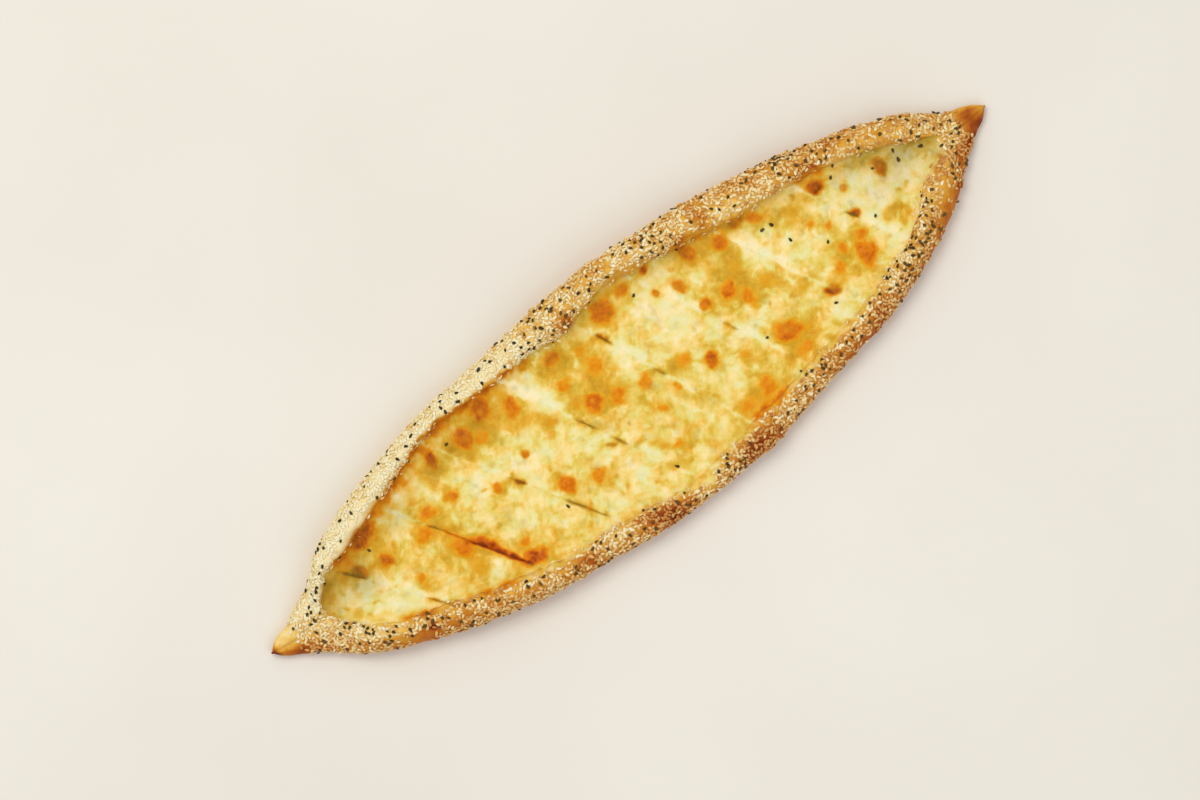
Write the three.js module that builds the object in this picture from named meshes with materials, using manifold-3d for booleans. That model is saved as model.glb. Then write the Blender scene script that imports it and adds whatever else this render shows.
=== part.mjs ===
// A cheese pide: a boat-shaped flatbread, baked open. Its two long edges are folded in over a layer of
// melted cheese, and meet in a pinched point at each end. The rim is strewn with sesame and nigella seeds,
// the cheese has risen in browned blisters, and the bread is cut across into nine slices that still lie
// together.
//
// Millimetres, +Z up, resting on z = 0. +X runs along the bread to its browner point, and +Y is its back
// edge, the less bowed of the two. The shape is worked out from the straight line between the points, and is
// then moved across so that the origin is under the middle of the whole bread.

import * as THREE from "three";
import { MeshSurfaceSampler } from "three/addons/math/MeshSurfaceSampler.js";
import { mergeVertices } from "three/addons/utils/BufferGeometryUtils.js";
import Module from "manifold-3d";

// Driving sizes of the whole bread
const LENGTH = 440;
const BASE_THICKNESS = 5;
const CHEESE_THICKNESS = 5;
const RIM_WIDTH = 15.5;
const CUT_WIDTH = 0.8;
const FIT_GAP = 0.35;

// The two long sides. beam is the reach from the line between the points to the outer edge at mid-length,
// and fullness is the power of the outline's curve. Hand shaping shows as bumps: near x = at, over about
// reach, the edge stands out, or the rim is wider or higher, by so much. A pleat is where the rim was folded
// over itself, so that its height drops by so much going towards +X.
const BACK = {
  sign: 1,
  beam: 57.5,
  fullness: 0.76,
  crest: 19,
  edge: [
    { at: -204, reach: 8, by: -3.4 },
    { at: -188, reach: 13, by: -5.2 },
    { at: -173, reach: 6, by: 1.2 },
    { at: -50, reach: 34, by: -2.2 },
    { at: 18, reach: 8, by: 1.2 },
    { at: 201, reach: 11, by: -3.2 },
  ],
  rim: [
    { at: -93, reach: 28, by: -4.2 },
    { at: -10, reach: 13, by: 5 },
    { at: 84, reach: 38, by: 4.6 },
    { at: 178, reach: 12, by: 2 },
    { at: -178, reach: 10, by: -3.2 },
  ],
  height: [
    { at: -150, reach: 20, by: 1 },
    { at: -60, reach: 26, by: -1.6 },
    { at: 30, reach: 22, by: 1.4 },
  ],
  pleats: [
    { at: -22, drop: -1.6 },
    { at: 76, drop: 2.4 },
    { at: 130, drop: 1.8 },
  ],
};
const FRONT = {
  sign: -1,
  beam: 71,
  fullness: 0.74,
  crest: 18,
  edge: [
    { at: -199, reach: 14, by: -4 },
    { at: -60, reach: 28, by: -1.2 },
    { at: 38, reach: 7, by: 1.6 },
    { at: 76, reach: 34, by: -2.8 },
    { at: 200, reach: 15, by: -4.8 },
  ],
  rim: [
    { at: -138, reach: 20, by: 2 },
    { at: -74, reach: 12, by: -1.5 },
    { at: -8, reach: 16, by: -3 },
    { at: 40, reach: 7, by: 3.4 },
    { at: 176, reach: 17, by: 8.5 },
    { at: -188, reach: 14, by: 8 },
  ],
  height: [
    { at: -95, reach: 18, by: 1.2 },
    { at: 0, reach: 24, by: -1.8 },
    { at: 110, reach: 30, by: 1 },
  ],
  pleats: [
    { at: -140, drop: -1.5 },
    { at: -84, drop: 1.6 },
    { at: 44, drop: 1.5 },
  ],
};
const PLEAT_WIDTH = 5;

// The rolled rim in section
const LIP_HEIGHT = 2.2; // top of the folded edge above the cheese
const BULGE_SHARE = 0.42; // height of the widest place, as a share of the crest's
const FOOT_INSET = 5; // the foot lies this far inside the widest place
const ARCH_STEPS = 8;
const FOOT_STEPS = 2;
const CRUST_STATIONS = 56;

// The pinched points: the cheese ends where the lips are as close as the first, and the dough has closed over
// where they are as close as the second
const CHEESE_OPENING = 8;
const CLOSED_OPENING = 2;
const LEAST_OPENING = 0.6;
const TIP_BLUNTNESS = 1.2;
const TIP_HEIGHT_SHARE = 0.42;
const TIP_TAPER_FROM = 0.78; // share of the half-length where the rim starts to come down
const SEAM_SHARE = 0.96; // height of the pinched point's back, as a share of the crest's
const DOMED_FROM = 0.4; // how nearly shut the bread is where the two rims start to join in one rounded back

// Melted cheese
const CHEESE_TOP = BASE_THICKNESS + CHEESE_THICKNESS;
const CHEESE_TUCK = 1.4; // reach of the cheese under the folded lip
const CHEESE_WAVE = 0.35;
const CHEESE_STATIONS = 36;
const CHEESE_STEPS = 6;

// The largest blisters in the cheese: [x, y, radius, rise]
const BLISTERS = [
  [-150, 18, 8.5, 1.3],
  [-147, 2, 4.5, 1],
  [-161, 5, 4.5, 0.9],
  [-125, 0, 5, 1],
  [-117, 8, 5.5, 1],
  [-114, -15, 6.5, 1.1],
  [-103, 7, 4.5, 0.9],
  [-89, -41, 6.5, 1.2],
  [-81, 26, 6.5, 1.2],
  [-66, 33, 7.5, 1.3],
  [-54, 24, 6, 1.1],
  [-55, -22, 5.5, 1.2],
  [-40, -28, 4.5, 1],
  [-24, 31, 5, 1],
  [-20, 1, 6, 1.2],
  [-9, -3, 5.5, 1],
  [-9, 15, 6, 1.1],
  [-27, 17, 4.5, 0.9],
  [10, 34, 8, 1.5],
  [27, -9, 4.5, 0.9],
  [38, -17, 4.5, 1],
  [47, 21, 4.5, 0.9],
  [52, 6, 4.5, 1],
  [65, 5, 5, 1.1],
  [52, -44, 6.5, 1.2],
  [60, 32, 6, 1.1],
  [76, 26, 6, 1.2],
  [76, -29, 7.5, 1.3],
  [78, -40, 5.5, 1],
  [105, -26, 4.5, 1],
  [129, 19, 5, 1.2],
  [130, -22, 8, 1.4],
  [160, 8, 5, 1],
];

// The knife's cuts: x where each crosses the middle of the bread, and degrees from square across
const CUT_MIDDLE_Y = -6;
const CUTS = [
  [-156, 36],
  [-115, 32],
  [-73, 31],
  [-29, 27],
  [14.5, 23],
  [53.5, 27],
  [95.5, 27],
  [137, 27],
];

// Seeds: length, width and thickness
const SESAME = [3.3, 2.1, 1.3];
const NIGELLA = [2.9, 1.7, 1.5];
const NIGELLA_EVERY = 5;
const SEED_COUNT = 172;
const SEED_SPACING = 5.4;
const SEED_SINK = 0.2;
const SEED_LOWEST = 7.5;
const SEED_REACH = 203; // no seeds nearer the points than this x
const SEED_FROM_CUT = 2.4;
const SEED_FROM_LIP = 2.5;
const SEED_TAPER = 0.9;
const SEED_LEAST_UP = 0.2; // seeds lie only where the dough's surface faces up by this much
const SLICE_TOLERANCE = 0.02; // faces finer than this are merged
const SMALLEST_SOLID = 40; // mm3, below which a loose scrap is dropped

const wasm = await Module();
wasm.setup();

const mix = (a, b, share) => a + (b - a) * share;
const smooth = THREE.MathUtils.smoothstep;

// Sum of the bumps of a hand-shaped edge at x.
function bumps(list, x) {
  return list.reduce((sum, { at, reach, by }) => sum + by * Math.exp(-(((x - at) / reach) ** 2)), 0);
}

// Distance from the line between the points to one side's outer edge.
function outerReach(side, x) {
  const along = (2 * x) / LENGTH;
  const curve = side.beam * Math.max(0, 1 - along * along) ** side.fullness;
  return Math.max(TIP_BLUNTNESS, curve + bumps(side.edge, x));
}

function rimWidth(side, x) {
  return RIM_WIDTH + bumps(side.rim, x);
}

// Distance between the two folded lips, negative where the rims have already met.
function opening(x) {
  return outerReach(BACK, x) - rimWidth(BACK, x) + outerReach(FRONT, x) - rimWidth(FRONT, x);
}

// 0 where the bread lies open, and 1 where it is pinched shut.
function closedness(x) {
  return 1 - smooth(opening(x), CLOSED_OPENING, CHEESE_OPENING);
}

// y of one side's folded lip.
function lipY(side, x) {
  const back = outerReach(BACK, x) - rimWidth(BACK, x);
  const front = outerReach(FRONT, x) - rimWidth(FRONT, x);
  const middle = (back - front) / 2;
  return middle + (side.sign * Math.max(LEAST_OPENING, opening(x))) / 2;
}

// Height of one side's rolled rim.
function crestHeight(side, x) {
  const along = Math.abs((2 * x) / LENGTH);
  const taper = mix(1, TIP_HEIGHT_SHARE, smooth(along, TIP_TAPER_FROM, 1));
  const folds = side.pleats.reduce(
    (sum, { at, drop }) => sum - drop * (smooth(x, at - PLEAT_WIDTH / 2, at + PLEAT_WIDTH / 2) - 0.5),
    0,
  );
  return taper * (side.crest + bumps(side.height, x) + folds);
}

// One side of the section at x, from the hidden root of the lip, over the rim and down to the foot.
function rimSection(side, x) {
  const closed = closedness(x);
  const crest = crestHeight(side, x);
  const seam = (SEAM_SHARE * (crestHeight(FRONT, x) + crestHeight(BACK, x))) / 2;
  const lip = lipY(side, x);
  const outer = side.sign * outerReach(side, x);
  const lipZ = mix(CHEESE_TOP + LIP_HEIGHT, seam, closed);
  const bulgeZ = BULGE_SHARE * crest;
  const rise = mix(crest - (lipZ + bulgeZ) / 2, 0.16 * crest, closed);
  const inset = Math.min(FOOT_INSET, 0.35 * Math.abs(outer - lip));
  const domed = smooth(closed, DOMED_FROM, 1);
  const points = [[lip, mix(CHEESE_TOP - 1, seam, closed)]];
  for (let i = 0; i <= ARCH_STEPS; i++) {
    const turn = (Math.PI * i) / ARCH_STEPS;
    const rolled = (1 - Math.cos(turn)) / 2;
    const rolledZ = mix(lipZ, bulgeZ, rolled) + rise * Math.sin(turn);
    const domedZ = mix(bulgeZ, seam, Math.cos(turn / 2));
    points.push([mix(lip, outer, mix(rolled, Math.sin(turn / 2), domed)), mix(rolledZ, domedZ, domed)]);
  }
  for (let i = 1; i <= FOOT_STEPS; i++) {
    const turn = ((Math.PI / 2) * i) / FOOT_STEPS;
    points.push([outer - side.sign * inset * (1 - Math.cos(turn)), bulgeZ * (1 - Math.sin(turn))]);
  }
  return points;
}

// The whole section of the dough at x, from the front foot over the top to the back foot.
function crustSection(x) {
  const front = rimSection(FRONT, x).reverse();
  const back = rimSection(BACK, x);
  const [frontRoot, backRoot] = [front[front.length - 1], back[0]];
  const middle = [(frontRoot[0] + backRoot[0]) / 2, (frontRoot[1] + backRoot[1]) / 2];
  return [...front, middle, ...back];
}

function cheeseTopZ(x, y) {
  return CHEESE_TOP + CHEESE_WAVE * (Math.sin(x / 11 + y / 19) + Math.sin(x / 23 - y / 9));
}

// Section of the cheese at x, larger by grow all round.
function cheeseSection(x, grow) {
  const [left, right] = [FRONT, BACK].map((side) => lipY(side, x) + side.sign * (CHEESE_TUCK + grow));
  const points = [[left, BASE_THICKNESS + FIT_GAP - grow]];
  for (let i = 0; i <= CHEESE_STEPS; i++) {
    const y = mix(left, right, i / CHEESE_STEPS);
    points.push([y, cheeseTopZ(x, y) + grow]);
  }
  points.push([right, BASE_THICKNESS + FIT_GAP - grow]);
  return points;
}

// A closed tube through the sections at these stations: a capped cylinder whose rings are moved onto them.
function loft(stations, sectionAt) {
  const sections = stations.map((x, row) => sectionAt(x, row));
  const corners = sections[0].length;
  const tube = new THREE.CylinderGeometry(1, 1, 1, corners, stations.length - 1);
  const place = tube.getAttribute("position");
  for (let i = 0; i < place.count; i++) {
    const row = Math.round((0.5 - place.getY(i)) * (stations.length - 1));
    const section = sections[row];
    const turn = Math.atan2(place.getX(i), place.getZ(i)) / (2 * Math.PI);
    const corner = (Math.round(turn * corners) + corners) % corners;
    const onAxis = Math.hypot(place.getX(i), place.getZ(i)) < 0.5;
    const middle = [0, 1].map((k) => section.reduce((sum, p) => sum + p[k] / corners, 0));
    const [y, z] = onAxis ? middle : section[corner];
    place.setXYZ(i, stations[row], y, z);
  }
  tube.computeVertexNormals();
  return tube;
}

// Stations from one x to another, closer together near both ends.
function stationsBetween(from, to, count) {
  const crowding = 0.4 * Math.PI;
  return Array.from({ length: count + 1 }, (_, i) => {
    const share = Math.sin(((2 * i) / count - 1) * crowding) / Math.sin(crowding);
    return mix(from, to, (share + 1) / 2);
  });
}

function solid(geometry) {
  const bare = geometry.clone();
  ["normal", "uv", "weight"].forEach((name) => bare.deleteAttribute(name));
  const merged = mergeVertices(bare, 1e-4);
  const made = new wasm.Manifold(
    new wasm.Mesh({
      numProp: 3,
      vertProperties: merged.getAttribute("position").array,
      triVerts: new Uint32Array(merged.index.array),
    }),
  );
  if (made.volume() <= 0) throw new Error("a shape is empty or inside out");
  return made;
}

function geometryOf(shape) {
  const mesh = shape.getMesh();
  const geometry = new THREE.BufferGeometry();
  geometry.setAttribute("position", new THREE.BufferAttribute(mesh.vertProperties, 3));
  geometry.setIndex(new THREE.BufferAttribute(mesh.triVerts, 1));
  geometry.computeVertexNormals();
  return geometry;
}

// x where the opening first grows past CHEESE_OPENING, going in from the point at end.
function cheeseEnd(end) {
  let x = end;
  while (opening(x) < CHEESE_OPENING) x -= Math.sign(end) * 0.25;
  return x;
}

// The layer of cheese with its larger blisters, which are flattened balls sunk in it. All of it is larger by
// grow on every side, so that the same shape also hollows out its place in the dough.
function makeCheese(grow) {
  const stations = stationsBetween(cheeseEnd(-LENGTH / 2), cheeseEnd(LENGTH / 2), CHEESE_STATIONS);
  const grown = stations.map((x, row) => x + (row === 0 ? -grow : 0) + (row === CHEESE_STATIONS ? grow : 0));
  const layer = loft(grown, (_, row) => cheeseSection(stations[row], grow));
  return BLISTERS.reduce((cheese, [x, y, radius, rise]) => {
    const ball = new THREE.SphereGeometry(1, 8, 4).rotateX(Math.PI / 2);
    ball.scale(radius + grow, radius + grow, 2 * rise + grow);
    ball.translate(x, y, cheeseTopZ(x, y) - rise);
    return cheese.add(solid(ball));
  }, solid(layer));
}

// A teardrop-shaped seed, lying flat, narrower towards +X.
function seedGeometry([length, width, thickness]) {
  const seed = new THREE.IcosahedronGeometry(0.5, 0);
  const place = seed.getAttribute("position");
  for (let i = 0; i < place.count; i++) {
    const narrowing = 1 - SEED_TAPER * place.getX(i);
    place.setXYZ(i, place.getX(i), place.getY(i) * narrowing, place.getZ(i));
  }
  return seed.scale(length, width, thickness);
}

// Numbers from 0 to 1, the same each time.
function seededRandom(state) {
  return () => {
    state = (state * 1664525 + 1013904223) % 4294967296;
    return state / 4294967296;
  };
}

// Distance from a point to the nearest cut, seen from above.
function distanceToCut(x, y) {
  return Math.min(
    ...CUTS.map(([middle, lean]) => {
      const turn = THREE.MathUtils.degToRad(lean);
      return Math.abs((x - middle) * Math.cos(turn) + (y - CUT_MIDDLE_Y) * Math.sin(turn));
    }),
  );
}

function isOnRim(x, y, z) {
  const [back, front] = [lipY(BACK, x) + SEED_FROM_LIP, lipY(FRONT, x) - SEED_FROM_LIP];
  const outside = y > back || y < front || closedness(x) > 0.6;
  return outside && Math.abs(x) < SEED_REACH && z > SEED_LOWEST;
}

// Places for the seeds, spread evenly over the rim by throwing out any that fall too close together.
function seedPlaces(dough) {
  const place = dough.getAttribute("position");
  const weights = new Float32Array(place.count);
  for (let i = 0; i < place.count; i++) {
    weights[i] = isOnRim(place.getX(i), place.getY(i), place.getZ(i)) ? 1 : 0;
  }
  dough.setAttribute("weight", new THREE.BufferAttribute(weights, 1));
  const random = seededRandom(7);
  const sampler = new MeshSurfaceSampler(new THREE.Mesh(dough))
    .setWeightAttribute("weight")
    .setRandomGenerator(random)
    .build();
  const found = [];
  for (let tries = 0; tries < 40 * SEED_COUNT && found.length < SEED_COUNT; tries++) {
    const [at, normal] = [new THREE.Vector3(), new THREE.Vector3()];
    sampler.sample(at, normal);
    const clear = found.every((other) => other.at.distanceTo(at) > SEED_SPACING);
    const lies = normal.z > SEED_LEAST_UP && isOnRim(at.x, at.y, at.z);
    if (clear && lies && distanceToCut(at.x, at.y) > SEED_FROM_CUT) {
      found.push({ at, normal, heading: 2 * Math.PI * random() });
    }
  }
  return found;
}

function makeSeeds(places) {
  const [sesame, nigella] = [SESAME, NIGELLA].map(seedGeometry);
  return places.map(({ at, normal, heading }, number) => {
    const seed = (number % NIGELLA_EVERY ? sesame : nigella).clone();
    seed.rotateZ(heading);
    seed.applyQuaternion(new THREE.Quaternion().setFromUnitVectors(new THREE.Vector3(0, 0, 1), normal));
    const centre = at.clone().addScaledVector(normal, -SEED_SINK);
    return solid(seed.translate(centre.x, centre.y, centre.z));
  });
}

// The knife's blade at each cut, tall and long enough to part the whole bread.
function makeBlades() {
  return CUTS.map(([middle, lean]) => {
    const blade = new THREE.BoxGeometry(CUT_WIDTH, 260, 80);
    blade.rotateZ(THREE.MathUtils.degToRad(lean));
    return solid(blade.translate(middle, CUT_MIDDLE_Y, 0));
  });
}

// Cuts a solid with all the blades and returns the slices in order along the bread.
function slices(whole, blades) {
  return blades
    .reduce((left, blade) => left.subtract(blade), whole)
    .decompose()
    .filter((piece) => piece.volume() > SMALLEST_SOLID)
    .map((piece) => piece.simplify(SLICE_TOLERANCE))
    .sort((a, b) => a.boundingBox().min[0] - b.boundingBox().min[0]);
}

const crustFinish = new THREE.MeshStandardMaterial({ color: 0xdd9a45, roughness: 0.7, metalness: 0 });
const cheeseFinish = new THREE.MeshStandardMaterial({ color: 0xf0d878, roughness: 0.4, metalness: 0 });

const dough = loft(stationsBetween(-LENGTH / 2, LENGTH / 2, CRUST_STATIONS), crustSection);
const seeded = makeSeeds(seedPlaces(dough)).reduce((whole, seed) => whole.add(seed), solid(dough));
const crust = seeded.subtract(makeCheese(FIT_GAP));
const blades = makeBlades();

const bread = new THREE.Group();
slices(crust, blades).forEach((piece, number) => {
  const mesh = new THREE.Mesh(geometryOf(piece), crustFinish);
  mesh.name = `crust_slice_${number + 1}`;
  bread.add(mesh);
});
slices(makeCheese(0), blades).forEach((piece, number) => {
  const mesh = new THREE.Mesh(geometryOf(piece), cheeseFinish);
  mesh.name = `cheese_slice_${number + 1}`;
  bread.add(mesh);
});

// The origin comes under the middle of the bread.
const across = [BACK, FRONT].map((side) =>
  Math.max(...stationsBetween(-LENGTH / 2, LENGTH / 2, 200).map((x) => outerReach(side, x))),
);
bread.position.y = (across[1] - across[0]) / 2;

export default bread;
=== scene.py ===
"""A cheese pide, baked open and cut into nine slices that still lie together.

The dough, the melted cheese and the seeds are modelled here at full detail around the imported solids. Shapes
are worked out in millimetres from the line between the bread's two points, and written to meshes in metres.
"""

import itertools
import logging
import math
from collections.abc import Iterable
from dataclasses import dataclass, field
from enum import Enum

import bmesh
import bpy
import numpy as np
from mathutils import Matrix, Vector


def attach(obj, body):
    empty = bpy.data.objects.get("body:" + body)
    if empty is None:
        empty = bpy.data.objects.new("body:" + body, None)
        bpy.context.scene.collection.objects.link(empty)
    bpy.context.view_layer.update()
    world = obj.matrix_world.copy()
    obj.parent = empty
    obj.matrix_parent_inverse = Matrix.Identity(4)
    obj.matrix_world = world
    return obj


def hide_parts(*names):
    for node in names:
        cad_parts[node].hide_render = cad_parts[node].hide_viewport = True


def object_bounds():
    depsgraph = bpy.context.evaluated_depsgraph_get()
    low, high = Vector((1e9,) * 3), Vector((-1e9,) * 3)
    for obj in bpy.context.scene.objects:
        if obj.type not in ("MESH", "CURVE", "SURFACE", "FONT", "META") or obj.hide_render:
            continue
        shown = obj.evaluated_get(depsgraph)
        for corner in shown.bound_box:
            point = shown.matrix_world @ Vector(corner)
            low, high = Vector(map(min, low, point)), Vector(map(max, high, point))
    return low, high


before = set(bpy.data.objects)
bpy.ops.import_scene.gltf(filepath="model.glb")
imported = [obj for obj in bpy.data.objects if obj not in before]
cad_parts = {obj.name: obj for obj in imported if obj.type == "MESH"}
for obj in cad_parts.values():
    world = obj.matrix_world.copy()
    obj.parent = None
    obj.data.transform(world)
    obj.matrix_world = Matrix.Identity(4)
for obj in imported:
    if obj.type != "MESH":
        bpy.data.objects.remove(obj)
CAD_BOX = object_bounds()

log = logging.getLogger("pide")

MM = 0.001
WELD = 1e-8
ROOT = "root"

# Sizes of the bread in millimetres, and shares of them
LENGTH = 440.0
HALF = LENGTH / 2
BASE_THICKNESS = 5.0
CHEESE_TOP = 10.0
RIM_WIDTH = 15.5
LIP_HEIGHT = 2.2
BULGE_SHARE = 0.42
FOOT_INSET = 5.0
CLOSED_OPENING = 2.0
CHEESE_OPENING = 8.0
LEAST_OPENING = 0.6
TIP_BLUNTNESS = 1.2
TIP_HEIGHT_SHARE = 0.42
TIP_TAPER_FROM = 0.78
SEAM_SHARE = 0.96
NOSE = 7.0
CUT_WIDTH = 0.8
CUT_MIDDLE_Y = -6.0
BOX_MARGIN = 0.02

# Distance from a slice's edge to the middle of a cut that ran together, of an open one and of the widest
SHUT_GAP = 0.01
OPEN_GAP = 0.045
WIDEST_GAP = 0.38

# Short names of types: numbers for many places, a screen colour of 0 to 255 and colours by value
Field = np.ndarray
Colour = tuple[int, int, int]
Stops = tuple[tuple[float, Colour], ...]
Mesh = bpy.types.Mesh
Object = bpy.types.Object
Socket = bpy.types.NodeSocket
Group = bpy.types.ShaderNodeTree


def mix(a: Field | float, b: Field | float, share: Field | float) -> Field | float:
    """Value that lies share of the way from a to b."""
    return a + (b - a) * share


def smooth(value: Field | float, low: float, high: float) -> Field:
    """Eased step of value, from 0 at low to 1 at high."""
    t = np.clip((np.asarray(value, float) - low) / (high - low), 0.0, 1.0)
    return t * t * (3.0 - 2.0 * t)


def plateau(value: Field | float, start: float, full: float, waning: float, end: float) -> Field:
    """Eased stretch of value: 0 before start and past end, and 1 from full to waning."""
    return smooth(value, start, full) * (1 - smooth(value, waning, end))


def covered(at: Field, stretches: Iterable[tuple[float, float]], outside: float, inside: float) -> Field:
    """How far each place lies in a stretch, eased from so far outside its ends to so far inside them."""
    parts = [plateau(at, a - outside, a + inside, b - inside, b + outside) for a, b in stretches]
    return np.clip(sum(parts, np.zeros_like(at)), 0, 1)


def hump(away: Field | float, reach: Field | float) -> Field | float:
    """Bell curve of a distance: 1 at 0, and next to nothing past twice the reach."""
    return np.exp(-((away / reach) ** 2))


def steepened(value: Field, gain: float) -> Field:
    """Value with more contrast about a half, kept from 0 to 1."""
    return 0.5 + 0.5 * np.tanh(gain * (value - 0.5))


def level_places(x: Field, y: Field) -> Field:
    """Places at height 0, for relief that doesn't change with height."""
    return np.stack([x, y, np.zeros_like(x)], axis=-1)


def steps(count: int) -> Field:
    """A row of even shares, from 0 up to, not including, 1."""
    return np.linspace(0, 1, count, endpoint=False)[None]


def linear(colour: Colour) -> tuple[float, float, float, float]:
    """Scene-linear colour, with alpha, of a screen colour of 0 to 255."""
    shares = [c / 255 for c in colour]
    return (*(s / 12.92 if s <= 0.04045 else ((s + 0.055) / 1.055) ** 2.4 for s in shares), 1.0)


class Grain:
    """Smooth random relief in space, the same each run.

    It draws a number of directions that is a power of two. gain and layered_loss bring its height to about 1
    either way. A number added to the points picks another part of the relief.
    """

    directions: int = 256
    gain: float = 1.7
    layered_loss: float = 1.5

    def __init__(self, seed: int) -> None:
        """Draws the slopes of the relief.

        Args:
            seed: Number that sets the draw.
        """
        rng = np.random.default_rng(seed)
        self.order = np.tile(rng.permutation(self.directions), 2)
        slopes = rng.normal(size=(self.directions, 3))
        self.slopes = slopes / np.linalg.norm(slopes, axis=1, keepdims=True)

    def at(self, points: Field, size: float) -> Field:
        """Relief of about -1 to 1 at points.

        Args:
            points: Places, with three numbers in the last axis.
            size: Width of one bump, in the same unit.

        Returns:
            One value for each point.
        """
        scaled = points / size
        cell = np.floor(scaled).astype(int)
        inside = scaled - cell
        ease = inside**3 * (inside * (inside * 6 - 15) + 10)
        total = np.zeros(points.shape[:-1])
        for corner in itertools.product((0, 1), repeat=3):
            index = (cell + corner) & (self.directions - 1)
            code = self.order[index[..., 0]]
            code = self.order[code + index[..., 1]]
            code = self.order[code + index[..., 2]]
            slope = ((inside - corner) * self.slopes[code]).sum(-1)
            weight = np.where(corner, ease, 1 - ease).prod(-1)
            total += slope * weight
        return total * self.gain

    def layered(self, points: Field, size: float, layers: int = 3) -> Field:
        """Relief with finer and weaker relief on it.

        Args:
            points: Places, with three numbers in the last axis.
            size: Width of the largest bumps.
            layers: Number of sizes, each half the last.

        Returns:
            One value for each point, of about -1 to 1.
        """
        parts = [self.at(points, size / 2**n) / 2**n for n in range(layers)]
        return sum(parts) / self.layered_loss


@dataclass(frozen=True)
class Bump:
    """A place along an edge where it stands out, widens or rises."""

    at: float
    reach: float
    by: float


def bumps(found: Iterable[Bump], x: Field) -> Field:
    """Sum of the bumps at x."""
    return sum(b.by * hump(x - b.at, b.reach) for b in found)


@dataclass(frozen=True)
class Pleat:
    """A place where the rim is folded over itself.

    drop is how far the rim's top falls there towards +X, and slant how far the fold leans along the bread.
    """

    at: float
    drop: float
    slant: float

    def crease(self, x: Field, across: Field) -> Field:
        """Depth of the crease, as a negative height, and height of the fold beside it."""
        away = x - self.at - self.slant * (across - 0.5) * RIM_WIDTH
        return -1.1 * hump(away, 0.9) + 0.6 * hump(away - 2.4, 2)


@dataclass(frozen=True)
class Side:
    """One long edge of the bread, seen from the line between its points.

    beam is how far out it reaches, and fullness the power by which it narrows towards the points. edge, rim
    and height change its outline and the rim's width and height. bare and barer give the share of the rim,
    from the lip out, that holds no seeds, and melted the share of that strip that the cheese has run over.
    """

    sign: int
    beam: float
    fullness: float
    crest: float
    edge: tuple[Bump, ...]
    rim: tuple[Bump, ...]
    height: tuple[Bump, ...]
    pleats: tuple[Pleat, ...]
    bare: float
    barer: tuple[Bump, ...]
    melted: float
    pleat_width: float = 4.0

    def outer(self, x: Field) -> Field:
        """Distance from the line between the points to the outer edge."""
        curve = self.beam * np.maximum(0, 1 - (x / HALF) ** 2) ** self.fullness
        return np.maximum(TIP_BLUNTNESS, curve + bumps(self.edge, x))

    def width(self, x: Field) -> Field:
        """Width of the folded rim."""
        return RIM_WIDTH + bumps(self.rim, x)

    def bare_strip(self, x: Field) -> Field:
        """Share of the rim, from the lip out, left bare of seeds, negative where they lie on the cheese."""
        return self.bare + bumps(self.barer, x)

    def top(self, x: Field) -> Field:
        """Height of the rolled rim.

        Args:
            x: Places along the bread.

        Returns:
            One height for each place.
        """
        taper = mix(1.0, TIP_HEIGHT_SHARE, smooth(np.abs(x) / HALF, TIP_TAPER_FROM, 1.0))
        half = self.pleat_width / 2
        folds = sum(-p.drop * (smooth(x, p.at - half, p.at + half) - 0.5) for p in self.pleats)
        return taper * (self.crest + bumps(self.height, x) + folds)


BACK = Side(
    sign=1,
    beam=57.5,
    fullness=0.76,
    crest=19,
    edge=(
        Bump(-204, 8, -3.4),
        Bump(-188, 13, -5.2),
        Bump(-173, 6, 1.2),
        Bump(-50, 34, -2.2),
        Bump(18, 8, 1.2),
        Bump(201, 11, -3.2),
    ),
    rim=(
        Bump(-93, 28, -4.2),
        Bump(-10, 13, 5),
        Bump(84, 38, 4.6),
        Bump(178, 12, 2),
        Bump(-178, 10, -3.2),
    ),
    height=(Bump(-150, 20, 1), Bump(-60, 26, -1.6), Bump(30, 22, 1.4)),
    pleats=(Pleat(-22, -1.6, 0.3), Pleat(76, 2.4, -0.9), Pleat(130, 1.8, -0.5)),
    bare=0.08,
    barer=(
        Bump(-150, 13, 0.24),
        Bump(-120, 14, -0.12),
        Bump(-90, 9, 0.1),
        Bump(-52, 9, 0.1),
        Bump(-22, 16, -0.24),
        Bump(30, 10, 0.08),
        Bump(48, 7, -0.14),
        Bump(66, 9, 0.1),
    ),
    melted=0.12,
)
FRONT = Side(
    sign=-1,
    beam=71,
    fullness=0.74,
    crest=18,
    edge=(
        Bump(-199, 14, -4),
        Bump(-60, 28, -1.2),
        Bump(38, 7, 1.6),
        Bump(76, 34, -2.8),
        Bump(200, 15, -4.8),
    ),
    rim=(
        Bump(-138, 20, 2),
        Bump(-74, 12, -1.5),
        Bump(-8, 16, -3),
        Bump(40, 7, 3.4),
        Bump(176, 17, 8.5),
        Bump(-188, 14, 8),
    ),
    height=(Bump(-95, 18, 1.2), Bump(0, 24, -1.8), Bump(110, 30, 1)),
    pleats=(Pleat(-140, -1.5, 0.8), Pleat(-84, 1.6, 0.5), Pleat(44, 1.5, -0.4)),
    bare=0.15,
    barer=(
        Bump(-185, 16, -0.22),
        Bump(-143, 10, -0.24),
        Bump(-116, 14, -0.05),
        Bump(-50, 14, -0.13),
        Bump(-28, 10, -0.1),
        Bump(52, 9, 0.06),
        Bump(140, 22, -0.22),
        Bump(166, 12, -0.2),
    ),
    melted=1.0,
)
SIDES = (FRONT, BACK)


def opening(x: Field) -> Field:
    """Distance between the two folded lips, negative where the rims have met."""
    return sum(side.outer(x) - side.width(x) for side in SIDES)


def closedness(x: Field) -> Field:
    """0 where the bread lies open, and 1 where it is pinched shut."""
    return 1 - smooth(opening(x), CLOSED_OPENING, CHEESE_OPENING)


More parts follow.
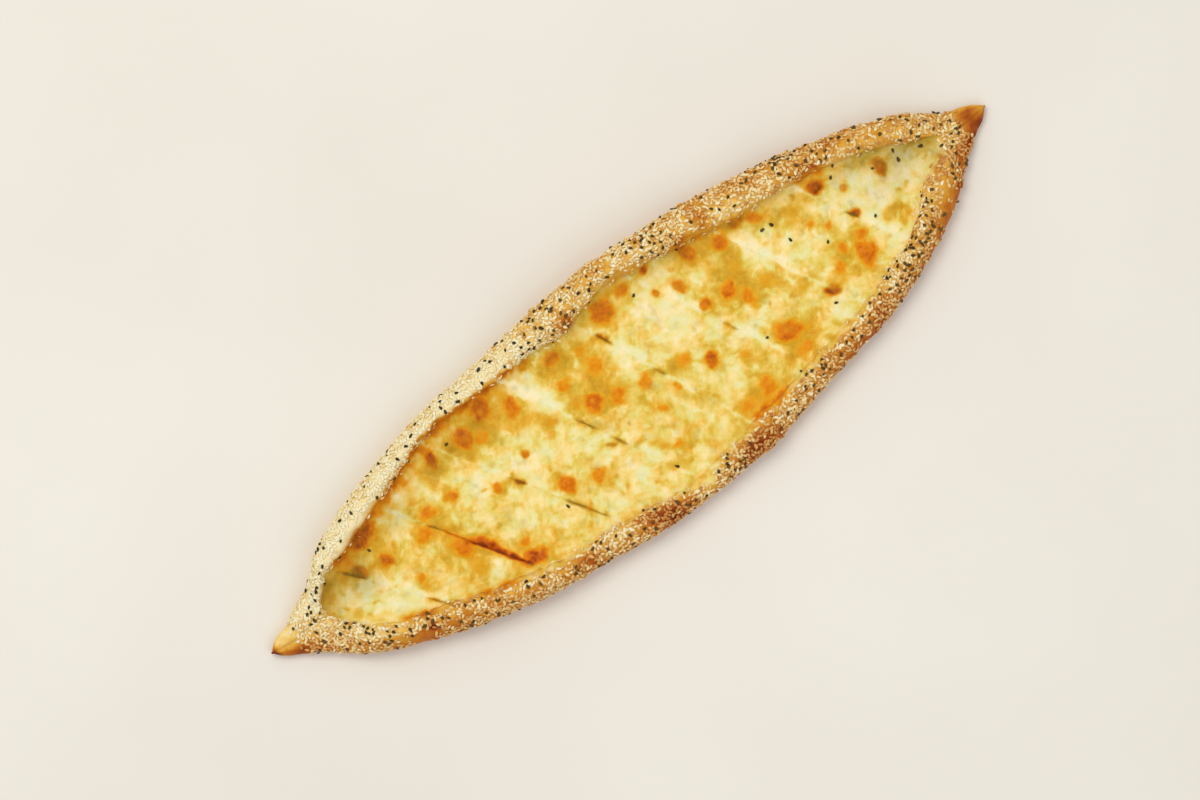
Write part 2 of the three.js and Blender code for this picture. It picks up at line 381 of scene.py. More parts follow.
def lip_y(side: Side, x: Field) -> Field:
    """Where one side's folded lip lies across the bread."""
    middle = sum(s.sign * (s.outer(x) - s.width(x)) for s in SIDES) / 2
    return middle + side.sign * np.maximum(LEAST_OPENING, opening(x)) / 2


def cheese_level(x: Field, y: Field) -> Field:
    """Height of the cheese before its finer relief."""
    return CHEESE_TOP + 0.35 * (np.sin(x / 11 + y / 19) + np.sin(x / 23 - y / 9))


def centring() -> float:
    """How far across the bread is moved, so that its middle is over the origin."""
    x = np.linspace(-HALF, HALF, 2001)
    return float(FRONT.outer(x).max() - BACK.outer(x).max()) / 2


SHIFT_Y = centring()


@dataclass(frozen=True)
class Cut:
    """One of the knife's cuts, slanting across the bread.

    parted lists the stretches, from one y to another, where the cut stands open. Elsewhere the cheese has run
    together again, so that it shows as a fine line. smear lists those where the knife drew pale cheese along.
    """

    middle: float
    lean: float
    parted: tuple[tuple[float, float], ...]
    smear: tuple[tuple[float, float], ...]

    @property
    def turn(self) -> float:
        """Angle from square across, in radians."""
        return math.radians(self.lean)

    def past(self, x: Field, y: Field) -> Field:
        """Signed distance past the middle of the cut, towards +X."""
        return (x - self.middle) * math.cos(self.turn) + (y - CUT_MIDDLE_Y) * math.sin(self.turn)

    def at(self, y: float) -> float:
        """x of the cut at y."""
        return self.middle - (y - CUT_MIDDLE_Y) * math.tan(self.turn)

    def openness(self, y: Field) -> Field:
        """0 where the cut has run together, and 1 where it stands open."""
        return covered(y, self.parted, outside=3, inside=1)

    def milkiness(self, y: Field) -> Field:
        """How far the knife smeared pale cheese along the cut."""
        return covered(y, self.smear, outside=5, inside=3)


CUTS = (
    Cut(-156, 36, ((3, 9), (-38, -26)), ((-28, -10),)),
    Cut(-115, 32, ((-42, 2),), ((-36, -30),)),
    Cut(-73, 31, ((-9, -4), (-46, -29)), ((-24, -12),)),
    Cut(-29, 27, ((-9, -1), (-24, -18)), ((10, 38), (-44, -28))),
    Cut(14.5, 23, ((19, 26), (-8, -4)), ((2, 28),)),
    Cut(53.5, 27, ((-12, -7),), ((4, 22), (-34, -10))),
    Cut(95.5, 27, (), ((-6, 26),)),
    Cut(137, 27, ((-5, -1),), ((-34, -10),)),
)
SLICES = len(CUTS) + 1
CHARRED_CUT = CUTS[1]

# Cuts on a slice's -X and its +X side, None at the bread's points
CutPair = tuple[Cut | None, Cut | None]


def write_places(mesh: Mesh, places: Field) -> None:
    """Moves a mesh's vertices.

    Args:
        mesh: The mesh.
        places: A place for each vertex, in millimetres from the line between the points.
    """
    moved = places.reshape(-1, 3) + (0.0, SHIFT_Y, 0.0)
    mesh.vertices.foreach_set("co", (moved * MM).astype(np.float32).ravel())
    mesh.update()


def read_places(mesh: Mesh) -> Field:
    """Places of a mesh's vertices.

    Args:
        mesh: The mesh.

    Returns:
        A place for each vertex, in millimetres from the line between the points.
    """
    flat = np.zeros(len(mesh.vertices) * 3, np.float32)
    mesh.vertices.foreach_get("co", flat)
    return flat.reshape(-1, 3).astype(float) / MM - (0.0, SHIFT_Y, 0.0)


def paint(mesh: Mesh, name: str, values: Field) -> None:
    """Writes one number for each vertex, for a material to read.

    Args:
        mesh: The mesh.
        name: Name of the attribute.
        values: A value for each vertex.
    """
    attribute = mesh.attributes.get(name) or mesh.attributes.new(name, "FLOAT", "POINT")
    attribute.data.foreach_set("value", values.ravel().astype(np.float32))


def normals_of(grid: Field) -> Field:
    """Outward directions of a tube of rings.

    Args:
        grid: Places, by ring and by column, with the last column on the first.

    Returns:
        A unit vector for each place.
    """
    along = np.gradient(grid, axis=0)
    ring = grid[:, :-1]
    around = np.roll(ring, -1, axis=1) - np.roll(ring, 1, axis=1)
    around = np.concatenate([around, around[:, :1]], axis=1)
    found = np.cross(around, along)
    return found / np.maximum(np.linalg.norm(found, axis=-1, keepdims=True), 1e-9)


def mesh_from(bm: bmesh.types.BMesh, name: str) -> Mesh:
    """Turns a bmesh into a mesh.

    Args:
        bm: The bmesh, which is freed.
        name: Name of the mesh.

    Returns:
        The mesh.
    """
    mesh = bpy.data.meshes.new(name)
    bm.to_mesh(mesh)
    bm.free()
    return mesh


def put_in_scene(name: str, data: bpy.types.ID) -> Object:
    """Adds a mesh, a camera or a light to the scene.

    Args:
        name: Name of the object.
        data: What it holds.

    Returns:
        The new object, at the origin.
    """
    made = bpy.data.objects.new(name, data)
    bpy.context.scene.collection.objects.link(made)
    return made


def tube(name: str, grid: Field, fields: dict[str, Field]) -> Mesh:
    """A closed skin through rings of places, made from a grid that is rolled up and capped.

    Args:
        name: Name of the mesh.
        grid: Places, by ring and by column, with the last column on the first.
        fields: Numbers for each place, by attribute name.

    Returns:
        The mesh.
    """
    rings, columns = grid.shape[:2]
    bm = bmesh.new()
    bmesh.ops.create_grid(bm, x_segments=columns - 1, y_segments=rings - 1, size=0.5)
    mesh = mesh_from(bm, name)
    flat = np.zeros(len(mesh.vertices) * 3, np.float32)
    mesh.vertices.foreach_get("co", flat)
    unit = flat.reshape(-1, 3) + 0.5
    column = np.rint(unit[:, 0] * (columns - 1)).astype(int)
    ring = np.rint(unit[:, 1] * (rings - 1)).astype(int)
    write_places(mesh, grid[ring, column])
    for key, values in fields.items():
        paint(mesh, key, values[ring, column])
    bm = bmesh.new()
    bm.from_mesh(mesh)
    bmesh.ops.remove_doubles(bm, verts=bm.verts, dist=WELD)
    bmesh.ops.holes_fill(bm, edges=[e for e in bm.edges if e.is_boundary], sides=0)
    bmesh.ops.recalc_face_normals(bm, faces=bm.faces)
    bm.to_mesh(mesh)
    bm.free()
    return mesh


def part_at(mesh: Mesh, cut: Cut, keep_past: bool) -> None:
    """Cuts a mesh along one side of the knife's cut and closes it with a flat face of the second material.

    Args:
        mesh: The mesh.
        cut: The cut.
        keep_past: Whether the part past the cut, towards +X, is kept.
    """
    way = 1.0 if keep_past else -1.0
    across = Vector((math.cos(cut.turn), math.sin(cut.turn), 0.0))
    on_cut = Vector((cut.middle, CUT_MIDDLE_Y + SHIFT_Y, 0.0)) * MM
    bm = bmesh.new()
    bm.from_mesh(mesh)
    found = bmesh.ops.bisect_plane(
        bm,
        geom=[*bm.verts, *bm.edges, *bm.faces],
        dist=WELD,
        plane_co=on_cut + across * (way * CUT_WIDTH / 2 * MM),
        plane_no=across,
        clear_inner=keep_past,
        clear_outer=not keep_past,
    )
    rim = [e for e in found["geom_cut"] if isinstance(e, bmesh.types.BMEdge)]
    closed = bmesh.ops.holes_fill(bm, edges=rim, sides=0)["faces"]
    for face in closed:
        face.material_index = 1
    for edge in rim:
        edge.smooth = False
    bmesh.ops.triangulate(bm, faces=closed, ngon_method="EAR_CLIP")
    bm.to_mesh(mesh)
    bm.free()


def finish_piece(mesh: Mesh) -> Object:
    """Puts a mesh into the scene as a smooth piece that rides on the bread.

    Args:
        mesh: The mesh, in its place.

    Returns:
        The new object.
    """
    mesh.polygons.foreach_set("use_smooth", [True] * len(mesh.polygons))
    piece = put_in_scene(mesh.name, mesh)
    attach(piece, ROOT)
    log.info("%s: %d faces", piece.name, len(mesh.polygons))
    return piece


@dataclass(frozen=True)
class Spot:
    """A place on the rim that is darker or paler, or has more or fewer seeds.

    across runs from 0 at the folded lip to 1 at the widest place. reach is in millimetres along the bread,
    and spread is in the units of across.
    """

    side: Side
    x: float
    across: float
    reach: float
    spread: float
    by: float


def spotted(spots: Iterable[Spot], sign: Field, x: Field, across: Field) -> Field:
    """Sum of the rim's spots.

    Args:
        spots: The spots.
        sign: Side of each place, 1 at the back and -1 at the front.
        x: Place along the bread.
        across: Place across the rim.

    Returns:
        One value for each place.
    """
    total = np.zeros_like(x)
    for s in spots:
        away = ((x - s.x) / s.reach) ** 2 + ((across - s.across) / s.spread) ** 2
        total += np.where(sign == s.side.sign, s.by * np.exp(-away), 0)
    return total


def spots_on(side: Side, *rows: tuple[float, float, float, float, float]) -> tuple[Spot, ...]:
    """Spots of one side, each from its x, across, reach, spread and by."""
    return tuple(Spot(side, *row) for row in rows)


# Where the rim is darker or paler, from baking and in places from painted light and shade
BAKE_AND_SHADE_SPOTS = (
    *spots_on(
        BACK,
        # Painted light on the back's left: paler at its point, over its lit top and on its shaded inner wall
        # at x -172
        (-205, 0.5, 14, 1.2, -0.2), (-172, 0.3, 20, 0.5, -0.26), (-130, 0.3, 30, 0.3, -0.08),
        (38, 0.6, 24, 0.7, -0.07), (84, 0.2, 20, 0.5, -0.16), (128, 0.8, 30, 0.5, -0.05),
        (-160, 0.5, 30, 0.8, -0.24), (-100, 0.5, 38, 0.8, -0.26), (-50, 0.6, 26, 0.7, -0.2),
        (20, 0.75, 9, 0.4, 0.1), (-8, 0.14, 6, 0.22, 0.4), (61, 0.12, 6, 0.22, 0.34),
        # Painted shade at x 74: darker along the fold
        (74, 0.4, 5, 0.5, 0.28), (105, 0.6, 22, 0.5, 0.1), (131, 0.15, 7, 0.3, 0.36),
        (140, 0.85, 14, 0.3, 0.16), (209, 0.35, 6, 0.5, 0.4), (211, 0.9, 9, 0.25, -0.12),
        (-219, 0.5, 2.5, 2.0, 0.5), (205, 0.2, 8, 0.5, -0.12),
    ),
    *spots_on(
        FRONT,
        # Painted shade on the front: its outer side from x 100 to 210 and its half of the two points are
        # darker
        (208, 0.15, 6, 0.4, 0.36), (206, 0.75, 15, 0.6, 0.34), (126, 0.8, 26, 0.5, 0.09),
        (76, 0.2, 22, 0.4, 0.06), (-208, 0.7, 12, 0.6, 0.12), (-219, 0.5, 2.5, 2.0, 0.6),
        (-157, 0.75, 18, 0.4, 0.12), (-176, 0.3, 16, 0.4, -0.16), (-75, 0.3, 16, 0.4, 0.06),
        (-125, 0.6, 24, 0.9, 0.09), (-205, 0.3, 12, 0.7, 0.22), (-148, 0.55, 2.6, 0.14, 0.45),
        (-68, 0.6, 6, 0.45, 0.2), (-24, 0.6, 10, 0.55, 0.5), (-36, 0.2, 6, 0.2, 0.2),
        (0, 0.5, 4, 0.4, -0.14), (31, 0.65, 13, 0.55, 0.42), (100, 0.9, 22, 0.35, 0.16),
        (118, 0.5, 6, 0.3, 0.24), (170, 0.95, 24, 0.3, 0.14), (186, 0.1, 6, 0.16, 0.24),
    ),
)

# Where the rim has more or fewer seeds of both kinds
SEED_SPOTS = (
    *spots_on(
        BACK,
        (-150, 0.1, 16, 0.2, -1.0), (-78, 0.06, 14, 0.2, -0.8), (-60, 0.05, 12, 0.12, -0.6),
        (-28, 0.1, 16, 0.2, 0.5), (21, 0.8, 8, 0.4, -0.8), (4, 0.85, 7, 0.25, -0.4),
        (47, 0.4, 14, 0.5, 0.4), (73, 0.3, 4, 0.6, -0.6), (82, 0.6, 4, 0.3, -0.4),
        (124, 0.7, 8, 0.4, 0.5), (165, 0.6, 24, 0.8, -0.5), (198, 0.4, 8, 0.8, 0.7),
    ),
    *spots_on(
        FRONT,
        (-192, 0.5, 14, 0.7, 0.5), (-155, 0.75, 15, 0.42, -1.1), (-150, 0.05, 20, 0.1, -0.9),
        (-112, 0.02, 26, 0.08, -1.0), (-110, 0.6, 24, 0.4, 0.4), (-68, 0.8, 8, 0.4, -0.9),
        (-74, 0.3, 8, 0.3, -0.4), (-52, 0.5, 11, 0.6, 0.5), (-24, 0.6, 9, 0.5, -0.55),
        (2, 0.5, 4.5, 0.4, -0.8), (-2, 0.1, 11, 0.3, -1.0), (58, 0.1, 26, 0.1, -0.9),
        (65, 0.6, 18, 0.4, 0.5), (100, 0.95, 24, 0.28, -0.9), (140, 0.5, 16, 0.5, 0.5),
        (172, 0.9, 26, 0.35, -1.0), (180, 0.35, 12, 0.35, -0.5), (198, 0.4, 7, 0.8, 0.7),
    ),
)

# Where it has more or fewer nigella seeds
NIGELLA_SPOTS = (
    *spots_on(
        BACK,
        (-190, 0.4, 8, 0.6, 0.9), (-172, 0.7, 6, 0.3, 0.6), (-36, 0.5, 8, 0.4, 0.4),
        (-8, 0.6, 8, 0.35, 1.1), (30, 0.7, 12, 0.5, -0.15), (8, 0.45, 6, 0.3, 0.8),
        (50, 0.6, 13, 0.4, 1.2), (92, 0.4, 5, 0.3, 1.0), (104, 0.15, 5, 0.2, 0.6),
        (126, 0.8, 8, 0.3, 1.4), (175, 0.5, 8, 0.5, 0.7),
    ),
    *spots_on(
        FRONT,
        (-188, 0.5, 14, 0.9, -0.34), (-171, 0.3, 8, 0.3, 1.2), (-141, 0.25, 6, 0.3, 1.6),
        (-122, 0.4, 10, 0.4, 1.0), (-78, 0.3, 9, 0.4, 0.9), (-49, 0.4, 10, 0.4, 1.3),
        (-14, 0.6, 8, 0.4, 0.6), (15, 0.5, 8, 0.4, 1.5), (58, 0.4, 8, 0.4, 0.8), (72, 0.3, 7, 0.3, 1.4),
        (95, 0.25, 8, 0.25, 1.6), (121, 0.25, 9, 0.3, 1.6), (150, 0.35, 17, 0.35, 1.8),
        (166, 0.2, 4, 0.2, 2.4), (192, 0.3, 6, 0.5, 0.9),
    ),
)


@dataclass(frozen=True)
class Ridge:
    """A raised fold that runs along the rim, with its baked edge.

    across is where it starts, and drift how far it has moved across the rim by its end.
    """

    side: Side
    start: float
    end: float
    across: float
    drift: float
    height: float
    bake: float

    def strength(self, sign: Field, x: Field, across: Field, thick: float) -> Field:
        """How much of the ridge there is at each place.

        Args:
            sign: Side of each place.
            x: Place along the bread.
            across: Place across the rim.
            thick: Half the ridge's width, in the units of across.

        Returns:
            0 away from the ridge, and 1 on its middle.
        """
        share = (x - self.start) / (self.end - self.start)
        middle = self.across + self.drift * share
        along = plateau(share, -0.06, 0.12, 0.85, 1.06)
        return np.where(sign == self.side.sign, along * hump(across - middle, thick), 0)


RIDGES = (
    Ridge(FRONT, -170, -143, 0.03, 0.07, 0.8, 0.16),
    Ridge(FRONT, -135, -94, 0.08, -0.08, 0.9, 0.3),
    Ridge(FRONT, -98, -80, 0.03, 0.0, 0.5, 0.2),
    Ridge(FRONT, 34, 88, 0.04, 0.0, 0.6, 0.05),
    Ridge(FRONT, 178, 193, 0.1, 0.1, 0.5, 0.1),
    Ridge(BACK, 168, 194, 0.04, 0.0, 0.5, 0.05),
    Ridge(BACK, -60, -41, 0.06, 0.0, 0.5, 0.06),
)


@dataclass(frozen=True)
class SearAndShade:
    """A stretch of a folded lip that the oven browned, and the cheese beside it; on the back's left the dark
    band is painted shade of the rim's inner wall as well.
    """

    side: Side
    start: float
    end: float
    by: float
    fade: float = 6.0

    def strength(self, sign: Field, x: Field) -> Field:
        """How browned the lip is at each place of either side, painted shade included."""
        along = covered(x, [(self.start, self.end)], self.fade, self.fade)
        return np.where(sign == self.side.sign, self.by * along, 0)


# Browned stretches of the lips; on the back from x -170 to -42 the band is also painted shade under the rim
SEARS_AND_SHADE = (
    SearAndShade(BACK, -170, -138, 0.7),
    SearAndShade(BACK, -136, -84, 0.9),
    SearAndShade(BACK, -84, -42, 0.82),
    SearAndShade(BACK, 20, 42, 0.25),
    SearAndShade(BACK, 52, 96, 0.36),
    SearAndShade(BACK, 122, 136, 0.7),
    SearAndShade(FRONT, -160, -143, 0.4),
    SearAndShade(FRONT, -128, -98, 0.4),
    SearAndShade(FRONT, 34, 58, 0.6),
)


@dataclass
class Skin:
    """Places on the rim's surface where seeds can lie."""

    rows: list[Field] = field(default_factory=list)

    def add(self, keep: Field, places: Field, rings: dict[str, Field], bake: Field) -> None:
        """Adds the kept places of one tube of rings.

        Args:
            keep: Whether each place can take a seed.
            places: The places.
            rings: The rings, for the side and the place across the rim.
            bake: How dark the dough is painted there, by baking and by painted light and shade.
        """
        step_in = np.linalg.norm(np.gradient(places, axis=0), axis=-1)
        step_round = np.linalg.norm(np.gradient(places, axis=1), axis=-1)
        flat = (rings["sign"], rings["across"], step_in * step_round, bake)
        parts = (places, normals_of(places), *(f[..., None] for f in flat))
        self.rows.append(np.concatenate(parts, axis=-1)[keep])

    def table(self) -> dict[str, Field]:
        """All the places, with what is known of each.

        Returns:
            Places and normals, and sign, across, area and bake, one of each for each place.
        """
        rows = np.concatenate(self.rows)
        names = ("sign", "across", "area", "bake")
        found = {name: rows[:, 6 + n] for n, name in enumerate(names)}
        return {"places": rows[:, :3], "normals": rows[:, 3:6], **found}


def slice_cuts(number: int) -> CutPair:
    """Cuts on the two sides of a slice, which is counted from 1 at the -X point."""
    row = (None, *CUTS, None)
    return row[number - 1], row[number]


def slice_reach(cuts: CutPair) -> tuple[float, float]:
    """Lowest and highest x of a slice, with a little to spare for the cuts.

    Args:
        cuts: Its cuts.

    Returns:
        The two places along the bread.
    """
    before, after = cuts
    beside, spare = 4.0, 3.0
    low = before.at(BACK.beam + beside) - spare if before else -HALF
    high = after.at(-FRONT.beam - beside) + spare if after else HALF
    return max(low, -HALF), min(high, HALF)


def inside_slice(cuts: CutPair, x: Field, y: Field, clear: float) -> Field:
    """Whether each place lies between a slice's cuts.

    Args:
        cuts: Its cuts.
        x: Places along the bread.
        y: Places across it.
        clear: Least distance from the middle of a cut, in millimetres.

    Returns:
        True or false for each place.
    """
    inside = np.full(x.shape, True)
    for cut, way in zip(cuts, (1, -1)):
        if cut:
            inside &= way * cut.past(x, y) > clear
    return inside


def loosen_cuts(mesh: Mesh, cuts: CutPair, soften: float) -> None:
    """Makes a slice's cut edges uneven: nearly shut where the bread closed up again, and rounded on top.

    Args:
        mesh: The slice.
        cuts: Its cuts.
        soften: How far the top edge sinks where the cut stands open, in millimetres.
    """
    places = read_places(mesh)
    wander = Grain(31)
    for cut, way in zip(cuts, (1.0, -1.0)):
        if not cut:
            continue
        inside = np.maximum(way * cut.past(places[:, 0], places[:, 1]) - CUT_WIDTH / 2, 0)
        line = places.copy()
        line[:, 0] = cut.at(0)
        line[:, 2] *= 0.3
        gap = mix(SHUT_GAP, OPEN_GAP, cut.openness(places[:, 1])) * (1 + 0.5 * wander.at(line, 3.5))
        push = -way * hump(inside, 1.6) * (CUT_WIDTH / 2 - np.clip(gap, SHUT_GAP, WIDEST_GAP))
        places[:, 0] += push * math.cos(cut.turn)
        places[:, 1] += push * math.sin(cut.turn)
        top = smooth(places[:, 2], BASE_THICKNESS, CHEESE_TOP) * cut.openness(places[:, 1])
        places[:, 2] -= soften * top * hump(inside, 0.7)
    write_places(mesh, places)


def cut_slice(mesh: Mesh, cuts: CutPair, soften: float) -> None:
    """Cuts a slice off on both sides and loosens its cut edges.

    Args:
        mesh: The slice, with a little to spare.
        cuts: Its cuts.
        soften: How far the top edge sinks where a cut stands open, in millimetres.
    """
    for cut, keep_past in zip(cuts, (True, False)):
        if cut:
            part_at(mesh, cut, keep_past)
    loosen_cuts(mesh, cuts, soften)


def dress_pieces(pieces: Iterable[Object], *finishes: "Finish") -> None:
    """Gives every piece the same finishes, in order.

    Args:
        pieces: The pieces.
        finishes: The finish of the skin, and that of the cut faces where there are any.
    """
    materials = [finish.make() for finish in finishes]
    for piece in pieces:
        for material in materials:
            piece.data.materials.append(material)


@dataclass(frozen=True)
class Blister:
    """A bubble in the cheese that rose and browned.

    brown is how dark its middle is, from 0 to 1, and rise its height in millimetres. stretch is how much
    longer than wide it is, turn the way it points, in degrees from +X, and olive how far it is greener.
    """

    x: float
    y: float
    radius: float
    brown: float
    rise: float = 1.0
    stretch: float = 1.0
    turn: float = 0.0
    olive: float = 0.0

    def away(self, off_x: Field, off_y: Field) -> Field:
        """Distance from the middle, as a share of the blister's own reach that way.

        Args:
            off_x: Distances from the middle along the bread.
            off_y: Distances across it.

        Returns:
            0 in the middle and 1 at the edge.
        """
        c, s = math.cos(math.radians(self.turn)), math.sin(math.radians(self.turn))
        long = (off_x * c + off_y * s) / self.stretch**0.5
        wide = (off_y * c - off_x * s) * self.stretch**0.5
        return np.hypot(long, wide) / self.radius


BLISTERS = tuple(
    Blister(*row)
    for row in (
        (-150, 18, 8.5, 0.92, 1.3, 1.5, 15, 0.1), (-147, 2, 4.5, 0.74, 1.0, 1.0, 0, 0.1),
        (-161, 5, 4.5, 0.72, 0.9, 1.3, 130, 0.4), (-125, 0, 5, 0.56, 1.0, 1.3, 30),
        (-117, 8, 6, 0.5, 1.0, 1.4, 0), (-114, -15, 6.5, 0.58, 1.1, 1.5, 115),
        (-103, 7, 4.5, 0.53, 0.9), (-89, -41, 6.5, 0.84, 1.2, 1.9, -12),
        (-81, 26, 6.5, 0.66, 1.2, 1.1, 90, 0.1), (-66, 33, 7.5, 0.7, 1.3, 1.3, 70, 0.1),
        (-54, 24, 6, 0.62, 1.1, 1.3, 60), (-55, -22, 5.5, 0.68, 1.2, 1.4, 110), (-40, -28, 5, 0.53),
        (-24, 31, 5, 0.62, 1.0, 1.3, 0, 0.2), (-20, 1, 6, 0.68, 1.2, 1.15, 80),
        (-9, -3, 5.5, 0.56, 1.0, 1.2, 20), (-9, 15, 6.4, 0.5, 1.1, 1.3, 80),
        (-27, 17, 4.5, 0.48, 0.9, 1.1, 40), (10, 34, 8, 0.68, 1.5, 1.15, 70, 0.08),
        (27, -9, 4.8, 0.44, 0.9, 1.1, 0), (38, -17, 4.5, 0.72, 1.0, 1.4, 60, 0.1),
        (47, 21, 4.8, 0.52, 0.9, 1.4, 100, 0.1), (52, 6, 4.5, 0.68, 1.0, 1.2, 10, 0.18),
        (65, 5, 5, 0.68, 1.1, 1.3, 65), (52, -44, 6.5, 0.55, 1.2, 1.4, 60),
        (60, 32, 6, 0.64, 1.1, 1.5, 100, 0.12), (76, 26, 6, 0.6, 1.2, 1.2, 0),
        (76, -29, 8.5, 0.6, 1.3, 1.5, -15), (78, -40, 5.5, 0.46, 1.0, 1.3, 0),
        (105, -26, 4.5, 0.78, 1.0, 1.4, -30, 0.42), (129, 19, 5, 0.95, 1.2, 1.2, 0, 0.1),
        (130, -22, 8, 0.62, 1.4, 1.4, 80), (133, -13, 4, 0.5, 0.5, 1.2, 0),
        (160, 8, 5, 0.72, 1.0, 1.3, 85, 0.4), (-74, 21, 4.5, 0.47, 0.4),
        (-36, 37, 4, 0.45, 0.4, 1.6, 20, 0.14), (-11, 25, 4, 0.42, 0.4),
        (-42, 6, 3.5, 0.4, 0.3, 1.6, -30, 0.1), (-44, 10, 3, 0.35, 0.3), (-28, 5, 3, 0.4, 0.3),
        (3, 24, 3.6, 0.55, 0.4, 1.8, -60, 0.4), (24, 37, 4.5, 0.54, 0.4, 1.6, 0, 0.16),
        (38, 38, 3, 0.75, 0.3, 1.6, 20, 0.1), (36, 25, 2.6, 0.55, 0.3, 1.0, 0, 0.2),
        (71, -4, 5.6, 0.5, 0.5, 1.5, 90), (75, 12, 4.5, 0.36, 0.3, 1.4, 60),
        (6, -6, 5, 0.5, 0.4, 1.2, 80), (53, -25, 3, 0.4, 0.3), (24, -28, 3, 0.36, 0.3, 1.5, 0),
        (39, -46, 5, 0.44, 0.5, 1.6, 10), (88, 29, 4.5, 0.55, 0.4, 1.8, 0, 0.35),
        (97, 25, 5, 0.52, 0.5, 1.8, -35), (84, -3, 5.2, 0.4, 0.4, 1.6, -20), (95, -15, 4.4, 0.38, 0.4),
        (115, -20, 4, 0.47, 0.4, 1.3, 80), (122, -13, 4, 0.47, 0.4, 1.4, 100),
        (113, 16, 3.6, 0.36, 0.3, 1.6, 20), (116, 6, 3, 0.45, 0.3), (123, 0, 2.8, 0.45, 0.3),
        (137, -3, 3.2, 0.75, 0.3, 1.3, -45, 0.3), (140, 10, 2.6, 0.45, 0.3),
        (153, -13, 4, 0.24, 0.3, 2.0, 10), (-100, 28, 4.5, 0.82, 0.5, 2.0, 75, 0.15),
        (-103, 22, 5, 0.15, 0.5, 1.4, 60, 0.1), (-120, 17, 3, 0.4, 0.3, 1.4, 20),
        (-83, -3, 3.4, 0.62, 0.4, 1.3, 50), (-104, -20, 4.5, 0.82, 0.5, 1.6, -60),
        (-113, -30, 5, 0.38, 0.4, 1.4, 90), (-97, -33, 4, 0.5, 0.5, 1.6, -50),
        (-88, -32, 3.5, 0.5, 0.4), (-139, -15, 3.5, 0.45, 0.3, 1.5, 80), (-139, -20, 3, 0.4, 0.3),
        (-72, -8, 2.8, 0.6, 0.3, 2.0, -45, 0.3), (-62, 2, 2.6, 0.6, 0.3, 1.0, 0, 0.25),
        (-46, 2, 2.6, 0.4, 0.3), (-26, -20, 2.2, 0.45, 0.2, 2.6, -40, 0.4),
        (-17, -14, 2.6, 0.3, 0.2, 1.6, 60), (-6, -36, 3.6, 0.4, 0.4, 1.3, 20),
        (0, -40, 2.6, 0.45, 0.3, 1.8, -20), (8, -37, 3.6, 0.36, 0.4, 1.3, 0), (0, -12, 3, 0.3, 0.3),
        (5, -21, 2.8, 0.5, 0.3, 1.8, -40), (17, -17, 2.4, 0.5, 0.2, 1.6, -60),
        (-52, -38, 2.2, 0.4, 0.2, 2.4, 60), (-32, -41, 1.6, 0.4, 0.2, 2.0, 60),
        (-168, 8, 4, 0.4, 0.3, 1.6, 40), (-176, 9, 3.5, 0.3, 0.2, 1.5, 20),
    )
)


@dataclass(frozen=True)
class Cloud:
    """A soft patch of the cheese that is more golden, or with a negative strength more milky.

    olive is how far it is darker and greener; in the clouds at the two ends this is partly painted shade in
    the dip between cheese and rim.
    """

    x: float
    y: float
    reach_x: float
    reach_y: float
    gold: float
    olive: float = 0.0

    def strength(self, x: Field, y: Field) -> Field:
        """How much of the patch there is at each place, from 0 to 1."""
        return np.exp(-(((x - self.x) / self.reach_x) ** 2) - ((y - self.y) / self.reach_y) ** 2)


# Patches of the cheese; the olive ones near the two ends are partly painted shade
CLOUDS = tuple(
    Cloud(*row)
    for row in (
        (-181, 3, 7, 10, 0.35, 0.3), (-172, 9, 9, 6, 0.2, 0.24), (-163, 0, 11, 9, -0.5, 0.4),
        (-150, 14, 13, 6, 0.35, 0.1), (-158, 10, 6, 5, -0.3, 0.18), (-150, -19, 12, 6, -0.6),
        (-135, -12, 12, 10, 0.3), (-130, 16, 12, 8, -0.35, 0.2), (-96, 24, 14, 6, 0.3, 0.12),
        (-112, -14, 10, 16, 0.4), (-106, -34, 6, 4, -0.9), (-106, -12, 4, 3, -0.7),
        (-90, 4, 12, 9, -0.3), (-72, 25, 16, 9, 0.45, 0.1), (-50, 16, 8, 8, 0.25),
        (-44, 30, 4, 8, -0.9), (-40, 20, 4, 8, -0.8), (-25, 26, 11, 9, 0.4), (-16, 4, 10, 12, 0.4),
        (-64, -4, 12, 9, -0.35), (-36, -40, 16, 8, -0.25), (-60, -44, 12, 5, 0.3), (0, -46, 26, 5, 0.3),
        (36, 20, 14, 14, -0.4), (40, 2, 12, 8, -0.35), (4, 10, 3.5, 14, -0.7), (-4, -24, 14, 6, 0.1),
        (44, -46, 16, 6, 0.4), (70, 16, 10, 14, 0.4), (80, -4, 14, 8, 0.35), (86, 14, 3.5, 13, -0.9),
        (70, -16, 10, 5, -0.4), (78, -34, 12, 9, 0.45), (102, -34, 8, 6, -0.6), (112, 12, 11, 7, 0.25),
        (104, 3, 6, 5, -0.4), (116, -16, 8, 9, 0.35), (141, -22, 4, 9, -0.9),
        (144, 2, 18, 12, -0.55, 0.06), (166, -1, 16, 9, -0.6, 0.22), (156, 16, 18, 5, 0.1, 0.3),
        (174, 7, 13, 5, -0.1, 0.3), (153, -13, 8, 4, 0.5, 0.05), (186, 2, 7, 6, 0.2, 0.2),
    )
)


@dataclass
class CheeseTop:
    """The top of the cheese at some places, seen from above, as it is worked out step by step.

    in_front and in_back are the distances in from the two lips. flat holds the places at height 0, bend how
    far the finer relief is drawn aside there, and bent the places so moved.
    """

    x: Field
    y: Field
    in_front: Field
    in_back: Field
    flat: Field
    bend: Field
    bent: Field
    z: Field
    brown: Field
    gold: Field
    olive: Field


